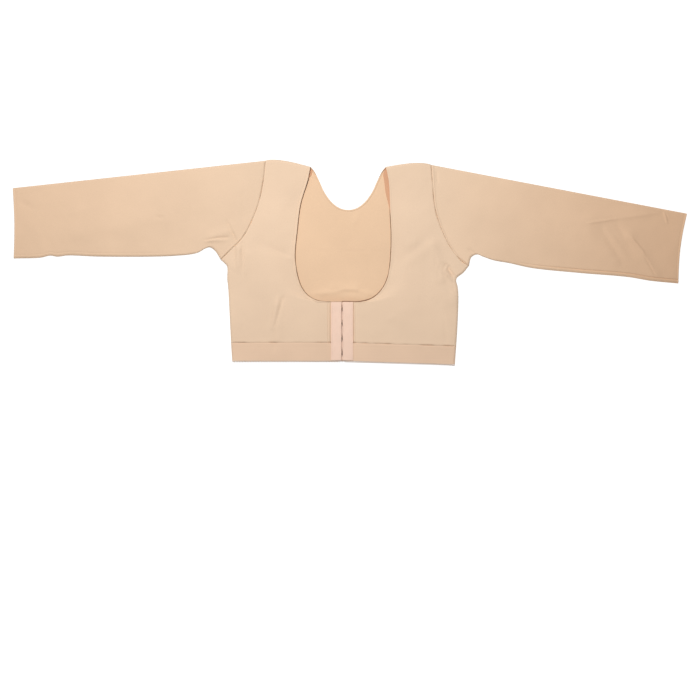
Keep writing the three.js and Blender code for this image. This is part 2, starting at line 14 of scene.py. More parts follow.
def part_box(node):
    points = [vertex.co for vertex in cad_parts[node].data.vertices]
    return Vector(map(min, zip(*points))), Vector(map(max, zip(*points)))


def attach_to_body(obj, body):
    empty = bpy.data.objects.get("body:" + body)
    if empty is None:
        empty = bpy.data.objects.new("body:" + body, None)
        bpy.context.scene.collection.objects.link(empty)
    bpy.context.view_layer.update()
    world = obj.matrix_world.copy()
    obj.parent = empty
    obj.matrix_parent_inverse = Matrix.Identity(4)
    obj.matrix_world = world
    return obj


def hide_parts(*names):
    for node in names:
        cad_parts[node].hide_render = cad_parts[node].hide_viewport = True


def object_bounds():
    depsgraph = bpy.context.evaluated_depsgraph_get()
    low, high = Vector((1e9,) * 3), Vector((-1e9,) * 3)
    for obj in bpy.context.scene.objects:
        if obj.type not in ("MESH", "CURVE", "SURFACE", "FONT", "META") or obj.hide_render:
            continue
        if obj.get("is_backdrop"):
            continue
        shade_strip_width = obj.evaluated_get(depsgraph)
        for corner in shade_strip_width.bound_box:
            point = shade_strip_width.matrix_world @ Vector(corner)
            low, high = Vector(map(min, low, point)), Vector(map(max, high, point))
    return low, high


bl_info = {
    "name": "Compression Top",
    "version": (1, 0, 0),
    "blender": (4, 5, 0),
    "location": "View3D > Sidebar > Garment",
    "description": "Builds the cloth, trims, hooks and stage of a compression top that lies flat",
    "category": "Object",
}

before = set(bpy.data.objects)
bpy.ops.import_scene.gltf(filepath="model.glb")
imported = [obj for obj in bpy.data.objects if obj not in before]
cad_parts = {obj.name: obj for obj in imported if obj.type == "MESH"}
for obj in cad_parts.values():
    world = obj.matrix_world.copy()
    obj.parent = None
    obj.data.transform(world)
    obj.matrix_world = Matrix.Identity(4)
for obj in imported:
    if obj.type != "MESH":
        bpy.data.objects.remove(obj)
CAD_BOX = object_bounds()
BODY = "root"
MM = 0.001

# The closure's middle and the hem edge in the frame, read from the tapes
HOOK_TAPE_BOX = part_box("hook_tape")
EYE_TAPE_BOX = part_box("eye_tape")
TAPE_END_INSET = 2.5 * MM
SHIFT = np.array([
    (HOOK_TAPE_BOX[1][0] + EYE_TAPE_BOX[0][0]) / 2,
    HOOK_TAPE_BOX[0][1] - TAPE_END_INSET,
    0.0,
])

# Sizes that the CAD holds
CLOTH = 1.3 * MM
HALF_GAP = 0.15 * MM
FOLD_RADIUS = 4.5 * MM
LAY_HEIGHT = 2 * FOLD_RADIUS
BODY_LENGTH = 332 * MM
SHOULDER_HALF = 141 * MM
NECK_HALF = 64 * MM
SHOULDER_BOW = 4.5 * MM
BOW_REACH = 66 * MM
LEAN = 10.5 * MM
FRONT_NECK_DEPTH = 230 * MM
SCOOP_HALF = 82 * MM
BACK_NECK_DEPTH = 73 * MM
BAND_HEIGHT = 33 * MM
SIDE_SEAM_IN = FOLD_RADIUS + 8.5 * MM
NECK_SAG_REACH = 26 * MM
NECK_SAG_FADE = 60 * MM
NECK_ROLL = 34 * MM
CUFF_WIDTH = 120 * MM
SLEEVE_PUFF = 2.5 * MM
ARMHOLE_BEND_REACH = 0.45
TAPE_WIDTH = 18 * MM
TAPE_THICKNESS = 1.4 * MM
TAPE_GAP = 1.7 * MM
TAPE_BARE = 7 * MM
TAPE_UNDERSIDE = LAY_HEIGHT + 2 * HALF_GAP
TAPE_LENGTH = BODY_LENGTH - FRONT_NECK_DEPTH - TAPE_END_INSET
HOOK_PITCH = 25 * MM
FIRST_HOOK_UP = 12.5 * MM
LAST_HOOK_DOWN = 8 * MM
HOOK_COUNT = 1 + int((TAPE_LENGTH - FIRST_HOOK_UP - LAST_HOOK_DOWN) // HOOK_PITCH)
WIRE = 0.9 * MM
WIRE_ROOT = 5 * MM
HOOK_BEND = 1.5 * MM
EYE_HALF = 2.6 * MM

# The cloth's scoop edge sinks further towards the back than the solid's
NECK_SAG = 5.2 * MM

# How each half lies, in millimetres and degrees
LAY = {
    "right": dict(hand=-1, hem_out=187, hem_dip=0, chest_out=195.5, flare=11, tip_rise=10.5,
                  armhole_depth=169, sleeve_length=432, sleeve_fall=6.2, cuff_lean=0.7, cuff_hollow=2.5),
    "left": dict(hand=1, hem_out=192, hem_dip=6, chest_out=197, flare=19, tip_rise=3.5,
                 armhole_depth=172, sleeve_length=443, sleeve_fall=10.8, cuff_lean=7, cuff_hollow=4.4),
}

# What differs between the halves' details. neck_turn is a share of the turned edge's relief, facing is the
# height up the body where the painted-shade facing starts and its width, and the rest is in millimetres.
# shadow_line_low and shadow_line_gain set how wide the neck binding's painted shadow shows.
DETAIL = {
    "right": dict(neck_turn=1, second_groove=1.1, sleeve_welt=0.3, shadow_line_low=0.75, shadow_line_gain=0.5,
                  facing=(308, 4.2)),
    "left": dict(neck_turn=0.35, second_groove=0.3, sleeve_welt=1.3, shadow_line_low=1.8, shadow_line_gain=-0.6,
                 facing=(248, 7.5)),
}

# Side edge: (up the underarm's height, out from hem to chest width, flare to the underarm)
SIDE = {
    "right": [(0, 0, 0), (0.2, 0.25, 0), (0.72, 0.8, 0), (0.82, 1, 0), (0.9, 0.95, 0),
              (0.94, 1, 0.04), (0.965, 1, 0.38), (1, 1, 1)],
    "left": [(0, 0, 0), (0.4, 0.9, 0), (0.71, 1.2, 0), (0.8, 0.9, 0), (0.85, 0.45, 0),
             (0.88, 0.75, 0), (0.93, 1, 0.5), (1, 1, 1)],
}

# Armhole seam from underarm to shoulder tip: (down its depth, out towards the underarm)
ARMHOLE = {
    "right": [(1, 1), (0.905, 0.79), (0.77, 0.5), (0.6, 0.3), (0.44, 0.16), (0.2, 0.045), (0, 0)],
    "left": [(1, 1), (0.955, 0.81), (0.83, 0.53), (0.695, 0.34), (0.46, 0.12), (0.18, 0.035), (0, 0)],
}

# Front neckline from closure to neck point: (down the neck's depth, out by the scoop's half width)
FRONT_NECK = {
    "right": [(1, 0.22), (0.99, 0.5), (0.955, 0.7), (0.9, 0.83), (0.83, 0.91), (0.68, 0.98),
              (0.47, 0.935), (0.27, 0.86), (0.11, 0.72)],
    "left": [(1, 0.37), (0.97, 0.64), (0.9, 0.84), (0.805, 0.96), (0.675, 1.01), (0.51, 1.025),
             (0.32, 1), (0.11, 0.97)],
}

# Back neckline from neck point to middle: (out by the neck's half width, down its depth)
BACK_NECK = [(1, 0), (0.905, 0.1), (0.75, 0.37), (0.64, 0.58), (0.43, 0.83), (0.21, 0.965), (0, 1)]

# Lower edge of a sleeve from underarm to cuff: (along it, rise by the cuff's width)
SLEEVE_LOWER_EDGE = {
    "right": [(0.027, 0.125), (0.052, 0.175), (0.075, 0.16), (0.115, 0.096), (0.23, 0.052),
              (0.58, 0.035), (0.74, 0.048), (0.79, 0.03), (0.825, 0.044), (0.87, 0.015)],
    "left": [(0.012, 0.125), (0.04, 0.17), (0.07, 0.144), (0.12, 0.106), (0.19, 0.087),
             (0.3, 0.044), (0.53, 0.031), (0.76, 0.031), (0.87, 0.005)],
}

# Folds of the upper layer: half, on body or sleeve, from (out, up), to (out, up), width and rise in mm
FRONT_FOLDS = [
    ("right", "body", (0.565, 0.29), (0.56, 0.12), 8, 1.8),
    ("right", "body", (0.9, 0.58), (0.93, 0.49), 7, 1.6),
    ("right", "body", (0.83, 0.55), (0.85, 0.46), 7, 1.2),
    ("right", "body", (0.72, 0.6), (0.5, 0.56), 9, -1),
    ("right", "sleeve", (0.09, 0.12), (0.03, 0.24), 8, 1.8),
    ("right", "sleeve", (0.35, 0.45), (0.72, 0.3), 14, 1),
    ("left", "body", (0.88, 0.48), (0.95, 0.38), 7, -1.6),
    ("left", "body", (0.79, 0.6), (0.84, 0.43), 10, 1.8),
    ("left", "body", (0.5, 0.48), (0.76, 0.6), 12, 1),
    ("left", "sleeve", (0.59, 0.66), (0.84, 0.91), 10, 1),
    ("left", "sleeve", (0.775, 0.53), (0.89, 0.12), 10, 1.8),
    ("left", "sleeve", (0.6, 0.51), (0.71, 0.2), 10, 1),
]
BACK_FOLDS = [
    ("right", "body", (0.16, 0.35), (-0.2, 0.335), 8, 1.6),
    ("left", "body", (-0.08, 0.385), (0.12, 0.38), 6, 1.4),
]

# Sharper creases that only the finish shows: from (x, y), to (x, y), width and rise in mm
TOP_CREASES = [
    # Right armpit, on the sleeve and below the seam
    ((-233, 207), (-212, 210.5), 1.8, -1.3),
    ((-212, 210.5), (-193, 211.4), 1.8, -1.5),
    ((-232, 206), (-197, 207), 3, 1.2),
    ((-186, 221), (-179, 203), 1.7, -1.1),
    ((-196, 239), (-181, 207), 2.4, -1.2),
    ((-190, 238), (-181, 214), 2.2, 0.9),
    ((-167.5, 290), (-167, 238), 3.6, -0.8),
    ((-183, 200), (-182, 160), 2.2, -1.3),
    ((-176, 203), (-175, 155), 3.2, 1.2),
    ((-169, 202), (-168, 148), 2.4, -1.2),
    # Right front
    ((-100, 110), (-106, 88), 2.8, -1.5),
    ((-106, 88), (-113, 62), 3, -1.5),
    ((-113, 62), (-116, 20), 4, -1.1),
    ((-109, 110), (-119, 58), 3.6, 1.3),
    ((-122, 193), (-84, 179), 3.6, -0.5),
    ((-95, 176), (-84, 176), 1.5, 0.45),
    # Left armpit and the drag below it
    ((158, 174), (166, 142), 3.6, -1.2),
    ((177, 164), (191, 143), 3, -3),
    ((172, 162), (186, 140), 3, 2.6),
    ((183, 136), (192, 104), 5, 1),
    ((100, 172), (150, 212), 8, -1),
    ((108, 203), (128, 200), 9, 0.8),
    ((89, 196), (85, 158), 4, -1.3),
    ((216, 191), (227, 182.5), 2.6, -1.1),
    ((161, 322), (162.5, 304), 2, -0.9),
    ((172, 88), (188, 40), 8, 0.9),
    ((173, 69), (178, 36), 3, -0.6),
    ((81, 80), (86, 70), 10, 0.7),
    # Left sleeve
    ((418, 235.5), (466, 243), 1.7, 1.2),
    ((466, 243), (538, 253.5), 3, 0.7),
    ((441, 226), (477, 167), 5, -0.8),
    ((450, 224), (486, 176), 5, 0.9),
    ((466, 234), (490, 196), 5, -1),
    ((491, 211), (511, 187), 1.8, 1.4),
    ((511, 187), (530, 156), 1.8, 1.2),
    ((515, 180), (533, 146), 2.2, -1.2),
    ((548, 254), (552.5, 236), 1.4, 1.3),
    ((552, 254), (556, 246), 1.3, 0.6),
    # Right sleeve
    ((-315, 246), (-304, 245), 3.4, -1),
    ((-546, 272), (-525, 261), 6, -0.8),
    ((-470, 250), (-420, 262), 7, 0.5),
]
BACK_CREASES = [
    ((-68, 188), (73, 188.5), 2.5, -0.3),
    ((-49, 116), (-12, 119), 3.4, 1.1),
    ((-12, 119), (5, 123.5), 3.2, 1.2),
    ((5, 123.5), (24, 122.5), 3.2, 1.2),
    ((24, 122.5), (54, 114), 3.4, 1.1),
    ((20, 232), (26, 250), 5, 0.5),
]


def smooth(low, high, value):
    """Eases from 0 at low to 1 at high."""
    share = np.clip((np.asarray(value, float) - low) / (high - low), 0, 1)
    return share * share * (3 - 2 * share)


def bell(distance, width):
    """A rounded ridge profile, 1 at its crest."""
    return np.exp(-((np.asarray(distance) / width) ** 2))


class Line:
    """A smooth line in plan through a few points, measured along its length."""

    STEPS = 60

    def __init__(self, points):
        knots = np.array(points, float)[:, :2]
        ends = np.vstack([2 * knots[0] - knots[1], knots, 2 * knots[-1] - knots[-2]])
        share = np.linspace(0, 1, self.STEPS, endpoint=False)[:, None]
        runs = []
        for a, b, c, d in zip(ends[:-3], ends[1:-2], ends[2:-1], ends[3:]):
            ab, bc, cd = (max(np.linalg.norm(q - p), 1e-9) ** 0.5 for p, q in ((a, b), (b, c), (c, d)))
            leave = bc * ((b - a) / ab - (c - a) / (ab + bc) + (c - b) / bc)
            arrive = bc * ((c - b) / bc - (d - b) / (bc + cd) + (d - c) / cd)
            square = share ** 2
            cube = share ** 3
            runs.append((2 * cube - 3 * square + 1) * b + (cube - 2 * square + share) * leave
                        + (3 * square - 2 * cube) * c + (cube - square) * arrive)
        self.points = np.vstack([*runs, knots[-1:]])
        self.run = np.concatenate([[0], np.cumsum(np.linalg.norm(np.diff(self.points, axis=0), axis=1))])
        self.length = self.run[-1]

    def at(self, distance):
        """Points at distances along the line."""
        return np.stack([np.interp(distance, self.run, self.points[:, k]) for k in (0, 1)], axis=-1)

    def beside(self, distance, left=0.0):
        """Points at distances along the line, moved to its left."""
        reach = 0.4 * MM
        ahead = self.at(np.asarray(distance) + reach) - self.at(np.asarray(distance) - reach)
        ahead /= np.linalg.norm(ahead, axis=-1, keepdims=True)
        across = np.stack([-ahead[..., 1], ahead[..., 0]], axis=-1)
        return self.at(distance) + np.asarray(left)[..., None] * across

    def distance_at_height(self, height):
        """How far along the line it first reaches a height."""
        return self.run[np.argmax(self.points[:, 1] >= height)]


class Half:
    """One half of the garment as it lies: its corners and edge lines in plan."""

    def __init__(self, key):
        lay = LAY[key]
        self.key = key
        self.hand = hand = lay["hand"]
        self.chest_out = lay["chest_out"] * MM
        self.cuff_hollow = lay["cuff_hollow"] * MM
        armhole_depth = lay["armhole_depth"] * MM
        hem_out = lay["hem_out"] * MM
        flare = lay["flare"] * MM
        fall, lean = math.radians(lay["sleeve_fall"]), math.radians(lay["cuff_lean"])
        at = lambda out, up: np.array([hand * out, up])
        self.neck = at(NECK_HALF + hand * LEAN, BODY_LENGTH)
        self.tip = at(SHOULDER_HALF + hand * LEAN, BODY_LENGTH + lay["tip_rise"] * MM)
        self.underarm = at(self.chest_out + flare, self.tip[1] - armhole_depth)
        reach = lay["sleeve_length"] * MM
        self.cuff_top = self.tip + at(reach * math.cos(fall), -reach * math.sin(fall))
        self.cuff_low = self.cuff_top + at(-CUFF_WIDTH * math.sin(lean), -CUFF_WIDTH * math.cos(lean))
        low = -lay["hem_dip"] * MM
        self.side = Line([
            at(hem_out + out * (self.chest_out - hem_out) + flared * flare,
               low + up * (self.underarm[1] - low))
            for up, out, flared in SIDE[key]
        ])
        self.armhole = Line([
            (self.tip[0] + out * (self.underarm[0] - self.tip[0]), self.tip[1] - down * armhole_depth)
            for down, out in ARMHOLE[key]
        ])
        self.closure_top = at(TAPE_GAP / 2 + TAPE_BARE, BODY_LENGTH - FRONT_NECK_DEPTH)
        self.neckline = Line([
            self.closure_top,
            *[at(out * SCOOP_HALF, BODY_LENGTH - down * FRONT_NECK_DEPTH) for down, out in FRONT_NECK[key]],
            self.neck,
        ])
        self.sleeve_lower = Line([
            self.underarm,
            *[self.underarm + along * (self.cuff_low - self.underarm) + np.array([0, rise * CUFF_WIDTH])
              for along, rise in SLEEVE_LOWER_EDGE[key]],
            self.cuff_low,
        ])
        self.sleeve_upper = Line([self.tip, (self.tip + self.cuff_top) / 2, self.cuff_top])

    def on_armhole(self, distance, to_body):
        """Points beside the armhole seam, on the body's or the sleeve's side."""
        return self.armhole.beside(distance, (self.hand if to_body else -self.hand) * HALF_GAP)


RIGHT = Half("right")
LEFT = Half("left")
HALVES = (RIGHT, LEFT)
HALF_NAMED = {"right": RIGHT, "left": LEFT}


def fold_ends(row):
    """Both ends of a fold's line in plan."""
    key, where, start, end, _, _ = row
    half = HALF_NAMED[key]
    if where == "body":
        return [np.array([half.hand * out * half.chest_out, up * BODY_LENGTH]) for out, up in (start, end)]
    ends = []
    for out, up in (start, end):
        low = half.sleeve_lower.at(out * half.sleeve_lower.length)
        high = half.sleeve_upper.at(out * half.sleeve_upper.length)
        ends.append(low + up * (high - low))
    return ends


def from_segment(spots, start, end):
    """Share along a straight line and distance from it, for points in plan."""
    way = end - start
    share = np.clip(((spots - start) @ way) / (way @ way), 0, 1)
    return share, np.linalg.norm(spots - (start + share[..., None] * way), axis=-1)


def relief(folds, spots):
    """Height that the folds add at points in plan."""
    total = np.zeros(spots.shape[:-1])
    for row in folds:
        away = from_segment(spots, *fold_ends(row))[1]
        total += row[5] * MM * bell(away, row[4] * MM)
    return total


def creased(creases, spots):
    """Height that the creases add at points in plan. Each fades towards its ends."""
    total = np.zeros(spots.shape[:-1])
    for start, end, width, rise in creases:
        share, away = from_segment(spots, np.array(start) * MM, np.array(end) * MM)
        total += rise * MM * (1 - 0.5 * np.abs(2 * share - 1) ** 3) * bell(away, width * MM)
    return total


def waves(spots, size, depth, seed):
    """Soft unevenness of cloth at points in plan."""
    flat = spots.reshape(-1, 2) / size
    heights = [noise.noise(Vector((x, y, seed))) for x, y in flat]
    return depth * np.array(heights).reshape(spots.shape[:-1])


def near(line, spots):
    """Distance in plan from points to a line."""
    flat = spots.reshape(-1, 2)
    dense = line.points
    best = np.full(len(flat), np.inf)
    for start in range(0, len(dense), 64):
        gap = flat[:, None, :] - dense[None, start:start + 64, :]
        best = np.minimum(best, np.sqrt((gap ** 2).sum(axis=2)).min(axis=1))
    return best.reshape(spots.shape[:-1])


def spread(length, start, end, middle):
    """Distances along a row: fixed steps in from each end, and even ones between."""
    first, last = np.asarray(start), length - np.asarray(end)[::-1]
    between = np.linspace(first[-1], last[0], middle + 2)[1:-1]
    return np.concatenate([first, between, last])


class Cloth:
    """A grid of cloth, as outer and inner points, that closes to a wall with rounded rims."""

    def __init__(self, rows, columns):
        self.outer = np.zeros((rows, columns, 3))
        self.inner = np.zeros((rows, columns, 3))
        self.mask = np.zeros((rows, columns), bool)

    @classmethod
    def from_grid(cls, x, y, top, low):
        """Cloth between two surfaces over one grid of points in plan."""
        cloth = cls(*x.shape)
        cloth.outer[...] = np.stack([x, y, top], -1)
        cloth.inner[...] = np.stack([x, y, low], -1)
        cloth.mask[...] = True
        return cloth

    def put(self, row, columns, outer, inner):
        """Fills part of a row with outer and inner points."""
        self.outer[row, columns] = outer
        self.inner[row, columns] = inner
        self.mask[row, columns] = True


def level(spots, is_top, extra, thin=0.0):
    """Outer and inner points of a flat layer. thin rounds its rim by taking from both faces."""
    outer = np.full(spots.shape[:-1], LAY_HEIGHT if is_top else 0.0) + extra
    side = -1 if is_top else 1
    inner = outer + side * CLOTH
    return (np.concatenate([spots, (outer + side * thin)[..., None]], -1),
            np.concatenate([spots, (inner - side * thin)[..., None]], -1))


def turned(place, angles, extra):
    """Outer and inner points round a fold. place maps distances in from the edge to plan points."""
    faces = []
    for radius in (FOLD_RADIUS, FOLD_RADIUS - CLOTH):
        spots = place(FOLD_RADIUS - radius * np.cos(angles))
        lift = np.where(angles > 0, extra, 0)
        height = FOLD_RADIUS + (radius + lift) * np.sin(angles)
        faces.append(np.concatenate([spots, height[..., None]], -1))
    return faces


RIM = 0.65 * MM


def rim_thin(away):
    """How much a rounded rim takes from each face at a distance in from the edge."""
    inside = np.clip(1 - np.asarray(away) / RIM, 0, 1)
    return 0.42 * MM * (1 - np.sqrt(1 - inside ** 2 * 0.98))


def weld(cloth, is_ring):
    """Vertices and faces of a closed wall: outer quads, inner quads and rims. Faces carry 0 or 1 for
    outside or inside."""
    rows, columns = cloth.mask.shape
    number = -np.ones((rows, columns), int)
    number[cloth.mask] = np.arange(cloth.mask.sum())
    count = int(cloth.mask.sum())
    wrap = np.concatenate([number, number[:, :1]], axis=1) if is_ring else number
    quads = np.stack([wrap[:-1, :-1], wrap[:-1, 1:], wrap[1:, 1:], wrap[1:, :-1]], -1).reshape(-1, 4)
    quads = quads[(quads >= 0).all(axis=1)]
    edges = np.concatenate([quads[:, [k, (k + 1) % 4]] for k in range(4)])
    keys = edges[:, 0] * count + edges[:, 1]
    back = edges[:, 1] * count + edges[:, 0]
    open_edges = edges[~np.isin(keys, back)]
    ends = open_edges[:, ::-1]
    rims = np.concatenate([ends, open_edges + count], -1)
    faces = np.concatenate([quads, quads[:, ::-1] + count, rims])
    points = np.concatenate([cloth.outer[cloth.mask], cloth.inner[cloth.mask]])
    sides = np.concatenate([np.zeros(len(quads), int), np.ones(len(quads), int), np.zeros(len(rims), int)])
    a, b, c, d = (points[faces[:, k]] for k in range(4))
    volume = (a * np.cross(b, c)).sum() + (a * np.cross(c, d)).sum()
    return points, (faces if volume > 0 else faces[:, ::-1]), sides


def new_object(name, data):
    """An object of this data at the origin, in the scene."""
    made = bpy.data.objects.new(name, data)
    bpy.context.scene.collection.objects.link(made)
    return made


def new_piece(name, points, faces, materials, sides=None):
    """A smooth mesh object at the origin, placed in the frame."""
    mesh = bpy.data.meshes.new(name)
    mesh.from_pydata((np.asarray(points) + SHIFT).tolist(), [], np.asarray(faces).tolist())
    for material in materials:
        mesh.materials.append(material)
    if sides is not None:
        mesh.polygons.foreach_set("material_index", np.asarray(sides, dtype=np.int32))
    mesh.shade_smooth()
    mesh.update()
    return new_object(name, mesh)


def cloth_piece(name, cloth, materials, is_ring=False):
    points, faces, sides = weld(cloth, is_ring)
    piece = new_piece(f"{name}_cloth", points, faces, materials, sides)
    outside = points[faces[sides == 0]]
    across, along = outside[:, 2] - outside[:, 0], outside[:, 3] - outside[:, 1]
    area = float(np.linalg.norm(np.cross(across, along), axis=1).sum() / 2)
    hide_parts(name)
    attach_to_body(piece, BODY)
    return piece


def plain_piece(name, cloth, material):
    """Makes a small cloth trim that the CAD has no solid for."""
    points, faces, _ = weld(cloth, False)
    return attach(new_piece(name, points, faces, (material,)))


def attach(piece):
    """Attaches a trim to the garment's body, on which it rides."""
    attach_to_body(piece, BODY)
    return piece


# Steps in from an edge, close together where a seam or rim rounds over
EDGE_STEPS = np.array([0, 0.12, 0.35, 0.7, 1.2, 1.8, 2.5, 3.2, 3.9, 4.8, 6.0, 7.4]) * MM
# Steps in from the closure, which go on past the tape's outer edge
CLOSURE_STEPS = np.concatenate([EDGE_STEPS, np.array([
    8.8, 9.8, 10.5, 11.0, 11.5, 12.0, 12.6, 13.3, 14.2, 15.1, 15.7, 16.2, 16.8, 17.6, 19.0,
]) * MM])
GRID = 1.8 * MM
FOLD_ANGLES = np.linspace(-math.pi / 2, math.pi / 2, 15)


def seam_height(away, welt, strength=1.0):
    """The dip of a seam and the ridge of the allowance that lies under the cloth beside it."""
    settings = bpy.context.scene.garment
    return welt * bell(away - 3.0 * MM, 1.4 * MM) - strength * settings.seam_depth * bell(away, 0.9 * MM)


def seam_strength(spots):
    """How tightly a seam pulls from place to place."""
    return np.clip(0.85 + waves(spots, 14 * MM, 1.1, 6.6), 0.3, 1.3)


def edge_roll(away):
    """A turned edge: raised for a few millimetres, then a stitched groove."""
    return 0.6 * MM * (1 - smooth(1.8 * MM, 3.4 * MM, away)) - 0.5 * MM * bell(away - 3.6 * MM, 0.9 * MM)


def tape_print(half, spots):
    """Grooves that the tape's seam presses into the front beside its outer edge."""
    out = half.hand * spots[:, 0] - (TAPE_GAP / 2 + TAPE_WIDTH)
    reach = smooth(0, 6 * MM, half.closure_top[1] - spots[:, 1])
    second = DETAIL[half.key]["second_groove"]
    groove = -1.5 * bell(out - 0.5 * MM, 0.9 * MM) - second * bell(out - 4.6 * MM, 0.8 * MM)
    return MM * reach * (groove + 0.35 * bell(out - 3.0 * MM, 1.2 * MM))


def side_fold(half, distance):
    """Maps a distance in from the side edge, at a height along it, to plan points."""
    if distance >= half.side.length - 1e-9:
        return lambda inward: half.on_armhole(inward, True)
    edge = half.side.at(distance)
    other = LEFT if half is RIGHT else RIGHT
    across = other.side.at(distance) - edge
    across /= np.linalg.norm(across)
    square = half.side.beside(distance, half.hand) - edge
    share = smooth(BAND_HEIGHT + 2 * HALF_GAP, 2 * BAND_HEIGHT, distance)
    inwards = across + share * (square - across)
    inwards /= np.linalg.norm(inwards)
    return lambda inward: edge + np.asarray(inward)[..., None] * inwards


def shoulder_bow(share):
    return SHOULDER_BOW * np.sin(math.pi * np.asarray(share) ** 0.7)


def bow_at(from_tip):
    return float(smooth(0, 1, 1 - from_tip / BOW_REACH))


def top_extra(spots):
    """Height of the upper layer's folds, creases and soft unevenness."""
    uneven = waves(spots, 48 * MM, 0.9 * MM, 3.1) + waves(spots, 17 * MM, 0.3 * MM, 8.4)
    return relief(FRONT_FOLDS, spots) + creased(TOP_CREASES, spots) + uneven


def back_extra(spots):
    """Height of the lower layer's folds, creases and soft unevenness."""
    uneven = np.abs(waves(spots, 48 * MM, 0.7 * MM, 5.2))
    return np.maximum(relief(BACK_FOLDS, spots) + creased(BACK_CREASES, spots) + uneven, 0)


def above_back(extra, spots):
    """Keeps the upper layer clear of the lower one where it sags."""
    return np.maximum(extra, 2 * CLOTH + back_extra(spots) + 0.5 * MM - LAY_HEIGHT)


ROLL_ANGLES = np.linspace(math.pi / 2, 0, 8)[1:]
ROLL_ANGLES[-1] = math.asin(HALF_GAP / FOLD_RADIUS)


def front_panel(half):
    """Cloth of one front, from closure to side seam."""
    neckline, armhole, side = half.neckline, half.armhole, half.side
    neck_at_underarm = neckline.distance_at_height(half.underarm[1])
    seam_up = BAND_HEIGHT + HALF_GAP
    closure_up = half.closure_top[1]
    low = seam_up + spread(closure_up - seam_up, EDGE_STEPS, [0], 30)
    mid_shares = np.linspace(0, 0.93, 40)[1:]
    mid = closure_up + np.append(mid_shares, 1) * (side.length - closure_up)
    arm = FOLD_RADIUS + np.linspace(0, 1, 84)[1:] * (armhole.length - 2 * FOLD_RADIUS)
    under = np.linspace(SIDE_SEAM_IN - HALF_GAP, FOLD_RADIUS, 8)[:-1]
    blank = len(under) + len(FOLD_ANGLES) - 1
    middle = 84
    flat_count = len(EDGE_STEPS) + len(CLOSURE_STEPS) + middle
    cloth = Cloth(len(low) + len(mid) + len(arm) + len(ROLL_ANGLES), blank + flat_count)
    flat_columns = slice(blank, blank + flat_count)

    def flat_row(row, start, end, neck_distance, bow, hem_away, is_neck):
        length = np.linalg.norm(end - start)
        run = spread(length, EDGE_STEPS, CLOSURE_STEPS, middle)
        share = run / length
        spots = start + share[:, None] * (end - start)
        spots[:, 1] += bow * shoulder_bow(share)
        sag = NECK_SAG * bell(length - run, NECK_SAG_REACH)
        for to_end in (neck_distance, neckline.length - neck_distance):
            sag = sag * smooth(0, NECK_SAG_FADE, to_end)
        strength = seam_strength(spots)
        seams = (seam_height(near(armhole, spots), 0.2 * MM, strength)
                 + seam_height(hem_away, 0.1 * MM, 0.75 * strength ** 2))
        extra = top_extra(spots) - sag + seams + tape_print(half, spots)
        if is_neck:
            extra = extra + DETAIL[half.key]["neck_turn"] * edge_roll(near(neckline, spots))
        cloth.put(row, flat_columns, *level(spots, True, above_back(extra, spots), rim_thin(length - run)))

    row = 0
    for distance in np.concatenate([low, mid]):
        place = side_fold(half, distance)
        share = np.clip((distance - closure_up) / (side.length - closure_up), 0, 1)
        neck_distance = (1 - (1 - share) ** (1 / 1.5)) * neck_at_underarm
        end = neckline.at(neck_distance) if neck_distance > 0 else np.array([half.closure_top[0], distance])
        crest = top_extra(place(np.array([FOLD_RADIUS])))[0]
        angles = FOLD_ANGLES[:-1]
        strip = place(under)
        cloth.put(row, slice(0, len(under)), *level(strip, False, 0.0))
        cloth.put(row, slice(len(under), blank), *turned(place, angles, crest))
        flat_row(row, place(np.array(FOLD_RADIUS)), end, neck_distance, 0, distance - seam_up, share > 0)
        row += 1
    for distance in arm:
        share = (distance - FOLD_RADIUS) / (armhole.length - 2 * FOLD_RADIUS)
        neck_distance = neck_at_underarm + share * (neckline.length - FOLD_RADIUS - neck_at_underarm)
        flat_row(row, half.on_armhole(distance, True), neckline.at(neck_distance), neck_distance,
                 bow_at(armhole.length - distance), 1.0, True)
        row += 1
    last = row - 1
    start, end = cloth.outer[last, blank, :2], cloth.outer[last, blank + flat_count - 1, :2]
    length = np.linalg.norm(end - start)
    share = spread(length, EDGE_STEPS, CLOSURE_STEPS, middle) / length
    crest = cloth.outer[last, flat_columns, 2] - LAY_HEIGHT
    for angle in ROLL_ANGLES:
        faces = []
        for radius in (FOLD_RADIUS, FOLD_RADIUS - CLOTH):
            from_tip = FOLD_RADIUS - radius * math.cos(angle)
            arm_end = half.on_armhole(armhole.length - from_tip, True)
            neck_end = neckline.at(neckline.length - from_tip)
            spots = arm_end + share[:, None] * (neck_end - arm_end)
            spots[:, 1] += bow_at(from_tip) * shoulder_bow(share)
            height = FOLD_RADIUS + (radius + crest) * math.sin(angle)
            faces.append(np.concatenate([spots, height[:, None]], -1))
        cloth.put(row, flat_columns, *faces)
        row += 1
    return cloth


def back_neckline():
    """The back's neck edge, from the right neck point to the left."""
    middle = (RIGHT.neck + LEFT.neck) / 2
    sides = [[(middle[0] + half.hand * out * NECK_HALF, middle[1] - down * BACK_NECK_DEPTH)
              for out, down in BACK_NECK] for half in HALVES]
    return Line([*sides[0], *sides[1][::-1][1:]])


SHOULDER_STEPS = 34
NECK_STEPS = 110


